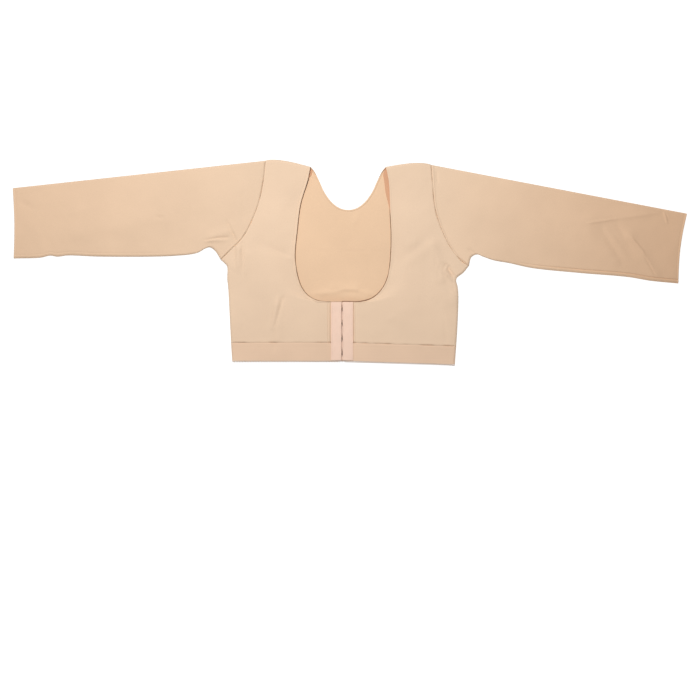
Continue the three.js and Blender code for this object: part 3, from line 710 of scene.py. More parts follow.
def back_panel():
    """Cloth of the back, from side seam to side seam, with its shoulders turned up to the fold."""
    neckline = back_neckline()
    seam_up = BAND_HEIGHT + HALF_GAP
    shoulder_share = np.linspace(0, 1, SHOULDER_STEPS + 1)
    shoulders = [half.tip + shoulder_share[:, None] * (half.neck - half.tip) for half in HALVES]
    for edge in shoulders:
        edge[:, 1] += shoulder_bow(shoulder_share)
    neck_run = np.linspace(0, neckline.length, NECK_STEPS)
    top = np.concatenate([shoulders[0][:-1], neckline.at(neck_run), shoulders[1][::-1][1:]])
    from_neck = np.minimum(neck_run, neckline.length - neck_run)
    shoulder = np.ones(SHOULDER_STEPS)
    lift = np.concatenate([shoulder, 1 - smooth(0, NECK_ROLL, from_neck), shoulder])
    is_neck = np.concatenate([0 * shoulder, np.ones(NECK_STEPS), 0 * shoulder]) > 0

    closure_up = RIGHT.closure_top[1]
    low_share = np.linspace(0, 1, 30)
    mid_share = np.linspace(0, 0.92, 26)[1:]

    def rail(half):
        low = seam_up + low_share * (closure_up - seam_up)
        mid = closure_up + mid_share * (half.side.length - closure_up)
        sides = [side_fold(half, d)(np.array(SIDE_SEAM_IN + HALF_GAP)) for d in np.concatenate([low, mid])]
        corner = half.on_armhole(SIDE_SEAM_IN, True) + np.array([-half.hand * HALF_GAP, 0])
        arm = np.linspace(SIDE_SEAM_IN, half.armhole.length - FOLD_RADIUS - 3.4 * MM, 74)[1:]
        return np.array([*sides, corner, *half.on_armhole(arm, True)])

    rails = [rail(half) for half in HALVES]
    tips = np.array([half.tip for half in HALVES])
    start = np.mean([points[0][1] for points in rails])
    across = (top[:, 0] - tips[0, 0]) / (tips[1, 0] - tips[0, 0])
    drop = top[:, 1] - (tips[0, 1] + across * (tips[1, 1] - tips[0, 1]))

    def plan(pair):
        risen = (np.mean([pair[0][1], pair[1][1]]) - start) / (tips[:, 1].mean() - start)
        spots = pair[0] + across[:, None] * (pair[1] - pair[0])
        spots[:, 1] += drop * risen ** 2
        return spots

    def pair_at(from_tip):
        return [half.on_armhole(half.armhole.length - from_tip, True) for half in HALVES]

    rows = [plan([rails[0][k], rails[1][k]]) for k in range(len(rails[0]))]
    cloth = Cloth(len(rows) + len(ROLL_ANGLES) + 6, len(top))
    every = slice(0, len(top))

    row = 0
    for spots in rows:
        hem = 0.8 * edge_roll(near(neckline, spots))
        cloth.put(row, every, *level(spots, False, np.maximum(back_extra(spots) + hem, 0)))
        row += 1
    steps = np.concatenate([np.full(6, math.pi / 2), ROLL_ANGLES])
    tucks = np.concatenate([np.linspace(2.4 * MM, 0.2 * MM, 6), np.zeros(len(ROLL_ANGLES))])
    for angle, tuck in zip(steps, tucks):
        from_tip = FOLD_RADIUS * (1 - math.cos(angle))
        flat = plan(pair_at(from_tip + tuck))
        away = near(neckline, flat)
        extra = np.maximum(back_extra(flat) + 0.8 * edge_roll(away), 0)
        outer, inner = level(flat, False, extra, np.where(is_neck, rim_thin(away), 0))
        if tuck == 0:
            for face, radius in ((outer, FOLD_RADIUS), (inner, FOLD_RADIUS - CLOTH)):
                spots = plan(pair_at(FOLD_RADIUS - radius * math.cos(angle)))
                height = FOLD_RADIUS - radius * math.sin(angle)
                goal = np.concatenate([spots, np.full((len(spots), 1), height)], -1)
                face += lift[:, None] * (goal - face)
        cloth.put(row, every, outer, inner)
        row += 1
    return cloth


def sleeve_rung(half, share):
    """A line across the sleeve from its lower to its upper edge."""
    low = half.sleeve_lower.at(share * half.sleeve_lower.length)
    high = half.sleeve_upper.at(share * half.sleeve_upper.length)
    across = np.linspace(0, 1, 9)
    straight = half.underarm + across[:, None] * (half.tip - half.underarm)
    bend = half.armhole.at(across * half.armhole.length) - straight
    points = low + across[:, None] * (high - low) + bend * (1 - smooth(0, ARMHOLE_BEND_REACH, share))
    points[:, 0] -= half.hand * float(smooth(0.8, 1, share)) * half.cuff_hollow * np.sin(math.pi * across)
    return Line(points)


SLEEVE_COLUMNS = 78


def sleeve(half):
    """Cloth of one sleeve, a flattened tube from armhole to cuff."""
    reach = half.sleeve_upper.length
    runs = spread(reach, EDGE_STEPS, EDGE_STEPS[:10], round(reach / GRID))
    edge_steps = FOLD_RADIUS + np.array([0.6, 1.1, 1.6, 2.2, 3.0, 4.0]) * MM
    under_count = 30
    cloth = Cloth(len(runs), 2 * len(FOLD_ANGLES) + 2 * len(edge_steps) + SLEEVE_COLUMNS + under_count)
    welt = DETAIL[half.key]["sleeve_welt"] * MM
    for row, run in enumerate(runs):
        along = run / reach
        rung = sleeve_rung(half, along) if row else half.armhole
        place = rung.at if row else (lambda distance: half.on_armhole(distance, False))
        length = rung.length
        across = spread(length, edge_steps, edge_steps, SLEEVE_COLUMNS)
        spots = place(across)
        share = (across - FOLD_RADIUS) / (length - 2 * FOLD_RADIUS)
        puff = SLEEVE_PUFF * float(smooth(0, 0.25, along)) * np.sin(math.pi * share)
        seam = seam_height(run, 0.8 * MM, seam_strength(spots))
        thin = rim_thin(reach - run)
        cuff = edge_roll(reach - run) * 0.5
        hidden_seam = -welt * float(smooth(0.15, 0.5, along))
        hidden_seam = hidden_seam * bell(across - FOLD_RADIUS - 1.4 * MM, 0.9 * MM)
        edges = [place(np.array([FOLD_RADIUS])), place(np.array([length - FOLD_RADIUS]))]
        crests = [float(top_extra(edge)[0]) + ends + cuff for edge, ends in zip(edges, (seam[0], seam[-1]))]
        lower = turned(place, FOLD_ANGLES, crests[0])
        upper = [face[::-1] for face in turned(lambda d: place(length - d), FOLD_ANGLES, crests[1])]
        top = level(spots, True, top_extra(spots) + puff + seam + cuff + hidden_seam, thin)
        below = place(FOLD_RADIUS + np.linspace(0, 1, under_count + 2)[1:-1] * (length - 2 * FOLD_RADIUS))
        under = [face[::-1] for face in level(below, False, 0.0, thin)]
        cloth.put(row, slice(None), *[np.concatenate([lower[k], top[k], upper[k], under[k]]) for k in (0, 1)])
    return cloth


# The band's cloth ends above the hem edge, which the picot loops reach. They stand on a line just
# inside that end and this far below the band's outer face.
PICOT_DROP = 1.6 * MM
PICOT_UP = 0.95 * MM
PICOT_SUNK = 0.85 * MM
PICOT_LOOP = 1.2 * MM
PICOT_YARN = 0.5 * MM


def back_hem_rise(up, share):
    """How far the back's hem lies above the front's, from one side edge to the other."""
    return 3 * MM * float(1 - smooth(0, 14 * MM, up)) * np.sin(math.pi * share) ** 0.5


def hem_band():
    """Cloth of the elastic band, from tape to tape round the back."""
    top_up = BAND_HEIGHT - HALF_GAP
    ups = PICOT_DROP + spread(top_up - PICOT_DROP, EDGE_STEPS[:6], EDGE_STEPS[:10], 12)
    fronts, unders = 90, 150
    cloth = Cloth(len(ups), 2 * fronts + unders + 2 * len(FOLD_ANGLES))
    for row, up in enumerate(ups):
        thin = float(rim_thin(up - PICOT_DROP))
        parts = []
        for half in HALVES:
            place = side_fold(half, up)
            edge = np.array([half.closure_top[0], up])
            share = np.linspace(0, 1, fronts + 1)[:-1]
            spots = edge + share[:, None] * (place(np.array(FOLD_RADIUS)) - edge)
            seams = seam_height(top_up - up, 0.1 * MM, 0.75 * seam_strength(spots) ** 2)
            extra = creased(TOP_CREASES, spots) + waves(spots, 40 * MM, 0.7 * MM, 2.7) + seams
            edge_spot = place(np.array([FOLD_RADIUS]))
            crest = float(waves(edge_spot, 40 * MM, 0.7 * MM, 2.7)[0] + seams[-1])
            parts.append((level(spots, True, extra, thin), turned(place, FOLD_ANGLES, crest)))
        share = np.linspace(0, 1, unders + 2)[1:-1]
        starts = [side_fold(half, up)(np.array(FOLD_RADIUS)) for half in HALVES]
        spots = starts[0] + share[:, None] * (starts[1] - starts[0])
        spots[:, 1] += back_hem_rise(up, share)
        under = level(spots, False, 0.0, thin)
        (front_r, fold_r), (front_l, fold_l) = parts
        cloth.put(row, slice(None), *[np.concatenate([
            front_r[k], fold_r[k][::-1], under[k], fold_l[k], front_l[k][::-1],
        ]) for k in (0, 1)])
    return cloth


# Materials


def links(tree, *pairs):
    for start, end in pairs:
        tree.links.new(start, end)


def new_material(name, roughness, metallic=0.0):
    """A material with its shader, and the object coordinates that its pattern reads."""
    material = bpy.data.materials.new(name)
    material.use_nodes = True
    tree = material.node_tree
    shader = tree.nodes["Principled BSDF"]
    shader.inputs["Roughness"].default_value = roughness
    shader.inputs["Metallic"].default_value = metallic
    coords = tree.nodes.new("ShaderNodeTexCoord")
    return material, tree, shader, coords.outputs["Object"]


def mix_colour(tree, blend_type, factor, first, second):
    node = tree.nodes.new("ShaderNodeMix")
    node.data_type = "RGBA"
    node.blend_type = blend_type
    for socket, value in zip((node.inputs[0], node.inputs[6], node.inputs[7]), (factor, first, second)):
        if isinstance(value, bpy.types.NodeSocket):
            tree.links.new(value, socket)
        else:
            socket.default_value = value
    return node.outputs[2]


def value_math(tree, operation, first, second):
    node = tree.nodes.new("ShaderNodeMath")
    node.operation = operation
    for socket, value in zip(node.inputs, (first, second)):
        if isinstance(value, bpy.types.NodeSocket):
            tree.links.new(value, socket)
        else:
            socket.default_value = value
    return node.outputs[0]


def noise_value(tree, vector, scale, detail=2.0):
    node = tree.nodes.new("ShaderNodeTexNoise")
    node.inputs["Scale"].default_value = scale
    node.inputs["Detail"].default_value = detail
    tree.links.new(vector, node.inputs["Vector"])
    return node.outputs["Fac"]


def ribs(tree, vector, pitch, axis, distortion=0.0):
    """Fine parallel ribs, one every pitch metres along an axis."""
    node = tree.nodes.new("ShaderNodeTexWave")
    node.bands_direction = axis
    node.inputs["Scale"].default_value = 2 * math.pi / (20 * pitch)
    node.inputs["Distortion"].default_value = distortion
    tree.links.new(vector, node.inputs["Vector"])
    return node.outputs["Fac"]


def map_range(tree, value, low, high, to_low, to_high):
    node = tree.nodes.new("ShaderNodeMapRange")
    tree.links.new(value, node.inputs["Value"])
    for name, number in (("From Min", low), ("From Max", high), ("To Min", to_low), ("To Max", to_high)):
        node.inputs[name].default_value = number
    return node.outputs["Result"]


def linear(colour, alpha=1.0):
    """A display colour as the linear one that shaders take."""
    return [c / 12.92 if c <= 0.04045 else ((c + 0.055) / 1.055) ** 2.4 for c in colour[:3]] + [alpha]


def turned_coords(tree, vector, angle):
    node = tree.nodes.new("ShaderNodeMapping")
    node.inputs["Rotation"].default_value = (0, 0, angle)
    tree.links.new(vector, node.inputs["Vector"])
    return node.outputs["Vector"]


def tint(tree, shader, tone, shade):
    """Gives the shader a tone that a pattern darkens and lightens."""
    tree.links.new(mix_colour(tree, "MULTIPLY", 1.0, tone, shade), shader.inputs["Base Color"])


def emboss(tree, shader, height, strength, depth):
    """Lets a pattern stand out from the surface."""
    bump = tree.nodes.new("ShaderNodeBump")
    bump.inputs["Strength"].default_value = strength
    bump.inputs["Distance"].default_value = depth
    links(tree, (height, bump.inputs["Height"]), (bump.outputs["Normal"], shader.inputs["Normal"]))


WALE = 1.1 * MM
COURSE = 0.8 * MM


def knit(name, colour, far_shade_colour=None, reach=(0.0, 1.0), turn=0.0):
    """Smooth warp knit: fine wales and courses, a soft bloom of fibre and a slight unevenness of tone.
    far_shade_colour is painted shade: the darker colour that it drifts to between two places along X."""
    material, tree, shader, coords = new_material(name, 0.86)
    lie = turned_coords(tree, coords, turn)
    tone = linear(colour)
    if far_shade_colour is not None:
        split = tree.nodes.new("ShaderNodeSeparateXYZ")
        tree.links.new(coords, split.inputs[0])
        share = map_range(tree, split.outputs["X"], reach[0], reach[1], 0, 1)
        tone = mix_colour(tree, "MIX", share, tone, linear(far_shade_colour))
    cloud = map_range(tree, noise_value(tree, coords, 9.0, 3.0), 0.3, 0.7, 0.965, 1.03)
    speck = map_range(tree, noise_value(tree, coords, 900.0, 2.0), 0.3, 0.7, 0.97, 1.03)
    wales = ribs(tree, lie, WALE, "X", 0.4)
    courses = ribs(tree, lie, COURSE, "Y", 0.8)
    weave = value_math(tree, "MULTIPLY", wales, courses)
    shade = map_range(tree, weave, 0, 1, 0.95, 1.03)
    uneven = value_math(tree, "MULTIPLY", value_math(tree, "MULTIPLY", cloud, speck), shade)
    tint(tree, shader, tone, uneven)
    emboss(tree, shader, weave, 0.35, 0.16 * MM)
    shader.inputs["Sheen Weight"].default_value = 0.04
    shader.inputs["Sheen Roughness"].default_value = 0.5
    shader.inputs["Specular IOR Level"].default_value = 0.25
    return material


def ribbed_elastic(name, colour):
    """Elastic band: fine ribs across it and a line of rubber threads along it."""
    material, tree, shader, coords = new_material(name, 0.8)
    upright = ribs(tree, coords, 1.3 * MM, "X", 0.3)
    along = ribs(tree, coords, 2.6 * MM, "Y", 0.2)
    height = value_math(tree, "ADD", value_math(tree, "MULTIPLY", along, 0.6), upright)
    cloud = map_range(tree, noise_value(tree, coords, 14.0, 3.0), 0.3, 0.7, 0.96, 1.03)
    shade = map_range(tree, height, 0, 1.6, 0.93, 1.04)
    uneven = value_math(tree, "MULTIPLY", cloud, shade)
    tint(tree, shader, linear(colour), uneven)
    emboss(tree, shader, height, 0.4, 0.2 * MM)
    shader.inputs["Specular IOR Level"].default_value = 0.25
    return material


def satin(name, colour):
    """Brushed satin tape: a fine twill, a soft gloss and a little nap."""
    material, tree, shader, coords = new_material(name, 0.6)
    twill = ribs(tree, turned_coords(tree, coords, math.radians(35)), 0.7 * MM, "X", 0.2)
    nap = noise_value(tree, coords, 1500.0, 2.0)
    uneven = value_math(tree, "MULTIPLY", map_range(tree, nap, 0.3, 0.7, 0.96, 1.03),
                        map_range(tree, noise_value(tree, coords, 60.0, 2.0), 0.3, 0.7, 0.97, 1.02))
    tint(tree, shader, linear(colour), uneven)
    emboss(tree, shader, value_math(tree, "ADD", twill, nap), 0.25, 0.12 * MM)
    shader.inputs["Sheen Weight"].default_value = 0.15
    shader.inputs["Specular IOR Level"].default_value = 0.4
    return material


def thread(name, colour):
    """Sewing thread, with the twist of its plies."""
    material, tree, shader, coords = new_material(name, 0.7)
    plies = ribs(tree, turned_coords(tree, coords, math.radians(45)), 0.4 * MM, "X")
    twist = map_range(tree, plies, 0, 1, 0.85, 1.05)
    tint(tree, shader, linear(colour), twist)
    return material


def steel(name, colour):
    """Plated wire, slightly dulled."""
    material, tree, shader, coords = new_material(name, 0.42, 1.0)
    dull = map_range(tree, noise_value(tree, coords, 700.0, 2.0), 0.3, 0.7, 0.75, 1.0)
    tint(tree, shader, linear(colour), dull)
    return material


def finish(name, maker, *values):
    """The material of this name, made once."""
    return bpy.data.materials.get(name) or maker(name, *values)


# Geometry Nodes for what repeats along a path


def new_tree(name, sizes):
    """A node tree with a geometry in and out, and a named length input for each size."""
    tree = bpy.data.node_groups.new(name, "GeometryNodeTree")
    tree.interface.new_socket("Geometry", in_out="INPUT", socket_type="NodeSocketGeometry")
    for label, value in sizes:
        socket = tree.interface.new_socket(label, in_out="INPUT", socket_type="NodeSocketFloat")
        socket.subtype = "DISTANCE"
        socket.default_value = value
    tree.interface.new_socket("Geometry", in_out="OUTPUT", socket_type="NodeSocketGeometry")
    return tree, tree.nodes.new("NodeGroupInput").outputs, tree.nodes.new("NodeGroupOutput").inputs


def repeat_along(tree, path, spacing, shape, material, group_out):
    """Places a shape at even steps along a path, its X axis along it, and realizes the copies."""
    nodes = tree.nodes
    curve = nodes.new("GeometryNodeMeshToCurve")
    resample = nodes.new("GeometryNodeResampleCurve")
    resample.mode = "LENGTH"
    tangent = nodes.new("GeometryNodeInputTangent")
    turn = nodes.new("FunctionNodeAlignRotationToVector")
    turn.axis = "X"
    turn.pivot_axis = "AUTO"
    place = nodes.new("GeometryNodeInstanceOnPoints")
    realize = nodes.new("GeometryNodeRealizeInstances")
    set_material = nodes.new("GeometryNodeSetMaterial")
    set_material.inputs["Material"].default_value = material
    links(
        tree,
        (path, curve.inputs[0]),
        (curve.outputs[0], resample.inputs["Curve"]),
        (spacing, resample.inputs["Length"]),
        (resample.outputs[0], place.inputs["Points"]),
        (shape, place.inputs["Instance"]),
        (tangent.outputs[0], turn.inputs["Vector"]),
        (turn.outputs[0], place.inputs["Rotation"]),
        (place.outputs[0], realize.inputs[0]),
        (realize.outputs[0], set_material.inputs["Geometry"]),
        (set_material.outputs[0], group_out[0]),
    )
    return turn


def stitch_tree(name, material, spacing, length, radius):
    """Stitches that lie along a path."""
    sizes = (("Spacing", spacing), ("Stitch Length", length), ("Thread Radius", radius))
    tree, given, out = new_tree(name, sizes)
    nodes = tree.nodes
    bead = nodes.new("GeometryNodeMeshUVSphere")
    bead.inputs["Segments"].default_value = 8
    bead.inputs["Rings"].default_value = 6
    bead.inputs["Radius"].default_value = 1.0
    size = nodes.new("ShaderNodeCombineXYZ")
    half = nodes.new("ShaderNodeMath")
    half.operation = "MULTIPLY"
    half.inputs[1].default_value = 0.5
    stretch = nodes.new("GeometryNodeTransform")
    links(
        tree,
        (given["Stitch Length"], half.inputs[0]),
        (half.outputs[0], size.inputs["X"]),
        (given["Thread Radius"], size.inputs["Y"]),
        (given["Thread Radius"], size.inputs["Z"]),
        (bead.outputs["Mesh"], stretch.inputs["Geometry"]),
        (size.outputs[0], stretch.inputs["Scale"]),
    )
    repeat_along(tree, given["Geometry"], given["Spacing"], stretch.outputs[0], material, out)
    return tree


def picot_tree(name, material, pitch, radius, thread_radius):
    """Small loops of yarn that stand out from an edge."""
    sizes = (("Pitch", pitch), ("Loop Radius", radius), ("Yarn Radius", thread_radius))
    tree, given, out = new_tree(name, sizes)
    nodes = tree.nodes
    loop = nodes.new("GeometryNodeCurveArc")
    loop.inputs["Resolution"].default_value = 9
    loop.inputs["Start Angle"].default_value = math.radians(165)
    loop.inputs["Sweep Angle"].default_value = math.radians(210)
    ring = nodes.new("GeometryNodeCurvePrimitiveCircle")
    ring.inputs["Resolution"].default_value = 6
    tube = nodes.new("GeometryNodeCurveToMesh")
    tube.inputs["Fill Caps"].default_value = True
    links(
        tree,
        (given["Loop Radius"], loop.inputs["Radius"]),
        (given["Yarn Radius"], ring.inputs["Radius"]),
        (loop.outputs["Curve"], tube.inputs["Curve"]),
        (ring.outputs["Curve"], tube.inputs["Profile Curve"]),
    )
    turn = repeat_along(tree, given["Geometry"], given["Pitch"], tube.outputs[0], material, out)
    turn.pivot_axis = "Y"
    return tree


def run_tree(name, tree, paths):
    """Runs a tree on open paths and keeps the result as a plain mesh."""
    points = np.concatenate(paths)
    edges = []
    start = 0
    for path in paths:
        edges += [(start + k, start + k + 1) for k in range(len(path) - 1)]
        start += len(path)
    mesh = bpy.data.meshes.new(f"{name}_path")
    mesh.from_pydata((points + SHIFT).tolist(), edges, [])
    guide = new_object(f"{name}_path", mesh)
    modifier = guide.modifiers.new(name, "NODES")
    modifier.node_group = tree
    evaluated = guide.evaluated_get(bpy.context.evaluated_depsgraph_get())
    result = bpy.data.meshes.new_from_object(evaluated)
    bpy.data.objects.remove(guide)
    bpy.data.meshes.remove(mesh)
    if not result.polygons:
        raise RuntimeError(f"{name}: the tree made nothing")
    result.name = name
    result.shade_smooth()
    return new_object(name, result)


# Operators


class GarmentSettings(bpy.types.PropertyGroup):
    """Sizes and colours of the finish that a user would change."""

    front_colour: bpy.props.FloatVectorProperty(
        name="Front", description="Colour of the two fronts", subtype="COLOR_GAMMA", size=3,
        min=0, max=1, default=(0.91, 0.796, 0.685))
    sleeve_colour: bpy.props.FloatVectorProperty(
        name="Sleeve", description="Colour of the sleeves at the shoulder", subtype="COLOR_GAMMA", size=3,
        min=0, max=1, default=(0.917, 0.8, 0.685))
    # The cuff colour is painted shade: the sleeves darken towards their cuffs as the light falls off there.
    cuff_shade_colour: bpy.props.FloatVectorProperty(
        name="Cuff", description="Deeper tone that the left sleeve drifts to at its cuff",
        subtype="COLOR_GAMMA", size=3, min=0, max=1, default=(0.92, 0.762, 0.622))
    # The inner face's deeper tone is painted shade: the same knit as the front, as it looks in the shade under
    # the front layer.
    inner_shade_colour: bpy.props.FloatVectorProperty(
        name="Back", description="Colour of the cloth's inner face", subtype="COLOR_GAMMA", size=3,
        min=0, max=1, default=(0.912, 0.775, 0.642))
    band_colour: bpy.props.FloatVectorProperty(
        name="Band", description="Colour of the elastic hem band", subtype="COLOR_GAMMA", size=3,
        min=0, max=1, default=(0.905, 0.777, 0.666))
    tape_colour: bpy.props.FloatVectorProperty(
        name="Tape", description="Colour of the closure tapes", subtype="COLOR_GAMMA", size=3,
        min=0, max=1, default=(0.945, 0.81, 0.725))
    seam_depth: bpy.props.FloatProperty(
        name="Seam Depth", description="How far the cloth dips at a seam", subtype="DISTANCE",
        unit="LENGTH", default=1.1 * MM, min=0, max=2 * MM)
    picot_pitch: bpy.props.FloatProperty(
        name="Picot Pitch", description="Distance from one picot loop to the next", subtype="DISTANCE",
        unit="LENGTH", default=4.6 * MM, min=2 * MM, max=10 * MM)
    stitch_pitch: bpy.props.FloatProperty(
        name="Stitch Pitch", description="Distance from one stitch to the next", subtype="DISTANCE",
        unit="LENGTH", default=3.0 * MM, min=1 * MM, max=6 * MM)


def cloth_materials(settings):
    """Outside and inside materials of the fronts. The inside one is the front's knit in a deeper tone, as
    painted shade.
    """
    return (finish("Front Knit", knit, tuple(settings.front_colour)),
            finish("Inner Knit", knit, tuple(settings.inner_shade_colour)))


class GARMENT_OT_fronts(bpy.types.Operator):
    """Build both fronts"""

    bl_idname = "garment.fronts"
    bl_label = "Fronts"

    def execute(self, context):
        outside, inside = cloth_materials(context.scene.garment)
        for half in HALVES:
            cloth_piece(f"front_panel_{half.key}", front_panel(half), (outside, inside))
        # The facing's darker colour is painted shade of the fold inside each shoulder.
        facing = finish("Facing Knit", knit, (0.84, 0.645, 0.51))
        # The binding's dark brown is painted shadow under the front's neck edge.
        elastic = finish("Neck Elastic", thread, (0.52, 0.35, 0.225))
        for half in HALVES:
            plain_piece(f"neck_facing_painted_shade_{half.key}", neck_facing_painted_shade(half), facing)
            plain_piece(f"neck_binding_painted_shadow_{half.key}", neck_binding_painted_shadow(half), elastic)
        return {"FINISHED"}


class GARMENT_OT_back(bpy.types.Operator):
    """Build the back"""

    bl_idname = "garment.back"
    bl_label = "Back"

    def execute(self, context):
        outside, inside = cloth_materials(context.scene.garment)
        cloth_piece("back_panel", back_panel(), (outside, inside))
        return {"FINISHED"}


class GARMENT_OT_sleeves(bpy.types.Operator):
    """Build both sleeves"""

    bl_idname = "garment.sleeves"
    bl_label = "Sleeves"

    def execute(self, context):
        settings = context.scene.garment
        inside = cloth_materials(settings)[1]
        # The binding's dark colour is painted shade in the armhole seam.
        seam = finish("Seam Binding", thread, (0.56, 0.41, 0.3))
        start = tuple(settings.sleeve_colour)
        for half in HALVES:
            turn = half.hand * math.radians(LAY[half.key]["sleeve_fall"])
            reach = [point[0] + SHIFT[0] for point in (half.tip, half.cuff_top)]
            # Painted shade: each sleeve darkens towards its cuff, and the right sleeve is also darkened all over
            # and drifts part of the way.
            far = tuple(settings.cuff_shade_colour)
            near_tone = start
            if half is RIGHT:
                far = tuple(0.99 * (c + 0.45 * (d - c)) for c, d in zip(start, far))
                near_tone = tuple(c * 0.965 for c in start)
            outside = finish(f"Sleeve Knit {half.key.title()}", knit, near_tone, far, reach, turn)
            cloth_piece(f"sleeve_{half.key}", sleeve(half), (outside, inside),
                        True)
            plain_piece(f"armhole_binding_painted_shade_{half.key}", armhole_binding_painted_shade(half), seam)
        return {"FINISHED"}


def band_loop(up, lift):
    """The band's path round the garment at a height, lifted off its outer face."""
    runs = []
    for half in HALVES:
        place = side_fold(half, up)
        edge = np.array([half.closure_top[0], up])
        top_end = place(np.array(FOLD_RADIUS))
        front = np.concatenate([edge + np.linspace(0, 1, 60)[:, None] * (top_end - edge),
                                np.full((60, 1), LAY_HEIGHT + lift)], -1)
        angles = np.linspace(math.pi / 2, -math.pi / 2, 12)[1:-1]
        spots = place(FOLD_RADIUS - (FOLD_RADIUS + lift) * np.cos(angles))
        fold = np.concatenate([spots, (FOLD_RADIUS + (FOLD_RADIUS + lift) * np.sin(angles))[:, None]], -1)
        runs.append((front, fold))
    starts = [side_fold(half, up)(np.array(FOLD_RADIUS)) for half in HALVES]
    share = np.linspace(0, 1, 60)
    under = np.concatenate([starts[0] + share[:, None] * (starts[1] - starts[0]),
                            np.full((60, 1), max(-lift, 0.0))], -1)
    under[:, 1] += back_hem_rise(up, share)
    (front_r, fold_r), (front_l, fold_l) = runs
    return np.concatenate([front_r, fold_r, under, fold_l[::-1], front_l[::-1]])


class GARMENT_OT_band(bpy.types.Operator):
    """Build the elastic hem band with its picot edge"""

    bl_idname = "garment.band"
    bl_label = "Hem Band"

    def execute(self, context):
        settings = context.scene.garment
        elastic = finish("Ribbed Elastic", ribbed_elastic, tuple(settings.band_colour))
        inside = cloth_materials(settings)[1]
        cloth_piece("hem_band", hem_band(), (elastic, inside))
        yarn = finish("Picot Yarn", thread, tuple(c * 0.88 for c in settings.band_colour))
        tree = picot_tree("Picot Edge", yarn, settings.picot_pitch, PICOT_LOOP, PICOT_YARN)
        attach(run_tree("picot_edge", tree, [band_loop(PICOT_UP, -PICOT_SUNK)]))
        return {"FINISHED"}


# The tapes' stitches run this far in from both edges
TAPE_SEAM_IN = 2.2 * MM


def hook_ups():
    """Heights of the hooks, from the lowest."""
    return TAPE_END_INSET + FIRST_HOOK_UP + HOOK_PITCH * np.arange(HOOK_COUNT)


def tape_mesh(half):
    """A soft flat tape with rounded edges that is drawn in a little at each hook."""
    length = half.closure_top[1] - TAPE_END_INSET
    ins = np.array([0, 0.1, 0.3, 0.6, 1.0, 1.6, 2.4]) * MM
    xs = spread(TAPE_WIDTH, ins, ins, 8)
    ys = spread(length, ins, ins, 80)
    grid_x, grid_y = np.meshgrid(xs, ys)
    edge = np.minimum(np.minimum(grid_x, TAPE_WIDTH - grid_x), np.minimum(grid_y, length - grid_y))
    swell = np.sqrt(1 - np.clip(1 - edge / (0.7 * MM), 0, 1) ** 2 * 0.98)
    pull = sum(bell(grid_y + TAPE_END_INSET - up, 5 * MM) for up in hook_ups()) * bell(grid_x, 5 * MM)
    stitched = bell(grid_x - TAPE_SEAM_IN, 0.6 * MM) + bell(TAPE_WIDTH - TAPE_SEAM_IN - grid_x, 0.6 * MM)
    top = TAPE_UNDERSIDE + TAPE_THICKNESS * (0.5 + 0.5 * swell)
    top = top + (0.25 * pull - 0.22 * stitched - 0.12) * MM
    low = TAPE_UNDERSIDE + TAPE_THICKNESS * (0.5 - 0.5 * swell)
    return Cloth.from_grid(half.hand * (TAPE_GAP / 2 + grid_x), TAPE_END_INSET + grid_y, top, low)


class GARMENT_OT_tapes(bpy.types.Operator):
    """Build the two closure tapes"""

    bl_idname = "garment.tapes"
    bl_label = "Closure Tapes"

    def execute(self, context):
        tape = finish("Brushed Satin", satin, tuple(context.scene.garment.tape_colour))
        for half, name in ((RIGHT, "hook_tape"), (LEFT, "eye_tape")):
            cloth_piece(name, tape_mesh(half), (tape, tape))
        plain_piece("closure_underlay", underlay(), tape)
        return {"FINISHED"}


# A flap of tape lies under the hooks, sewn below the left front's edge
UNDERLAY_FROM = -7 * MM
UNDERLAY_TO = 15 * MM
UNDERLAY_HIGH = 7.4 * MM
UNDERLAY_EDGE = 6.9 * MM
UNDERLAY_DIP = 3.2 * MM
UNDERLAY_THICKNESS = 0.7 * MM


def underlay():
    """The flap, which sinks round each hook."""
    xs = UNDERLAY_FROM + spread(UNDERLAY_TO - UNDERLAY_FROM, EDGE_STEPS[:5], EDGE_STEPS[:5], 16)
    ys = TAPE_END_INSET + MM + spread(TAPE_LENGTH - 2 * MM, EDGE_STEPS[:5], EDGE_STEPS[:5], 50)
    grid_x, grid_y = np.meshgrid(xs, ys)
    dip = sum(1 - smooth(3.4 * MM, 7 * MM, np.abs(grid_y - up)) for up in hook_ups())
    top = UNDERLAY_HIGH - UNDERLAY_DIP * dip * (1 - smooth(7 * MM, 12 * MM, grid_x))
    top = top - (UNDERLAY_HIGH - UNDERLAY_EDGE) * smooth(4 * MM, 8 * MM, np.abs(grid_x))
    return Cloth.from_grid(grid_x, grid_y, top, top - UNDERLAY_THICKNESS)


def beside_neck(half, run, inwards):
    """Points beside the front's neck edge, inside the scoop. Runs below 0 go on above the tape's end."""
    spots = half.neckline.beside(np.maximum(run, 0), half.hand * inwards)
    lead = half.closure_top + np.stack([half.hand * np.minimum(run, 0), np.zeros(len(run)) + inwards], -1)
    return np.where(run[:, None] < 0, lead, spots)


def neck_strip(run, half, inwards, height, fall, thickness):
    """A thin strip that lies on the back, under and beside the front's neck edge. It falls as it goes in."""
    parts = np.linspace(0, 1, 8)
    under = 2.2 * MM
    cloth = Cloth(len(run), len(parts))
    for column, part in enumerate(parts):
        spots = beside_neck(half, run, -under + part * (under + inwards))
        top = CLOTH + back_extra(spots) + height - fall * part
        cloth.outer[:, column] = np.concatenate([spots, top[:, None]], -1)
        cloth.inner[:, column] = np.concatenate([spots, top[:, None] - thickness], -1)
        cloth.mask[:, column] = True
    return cloth


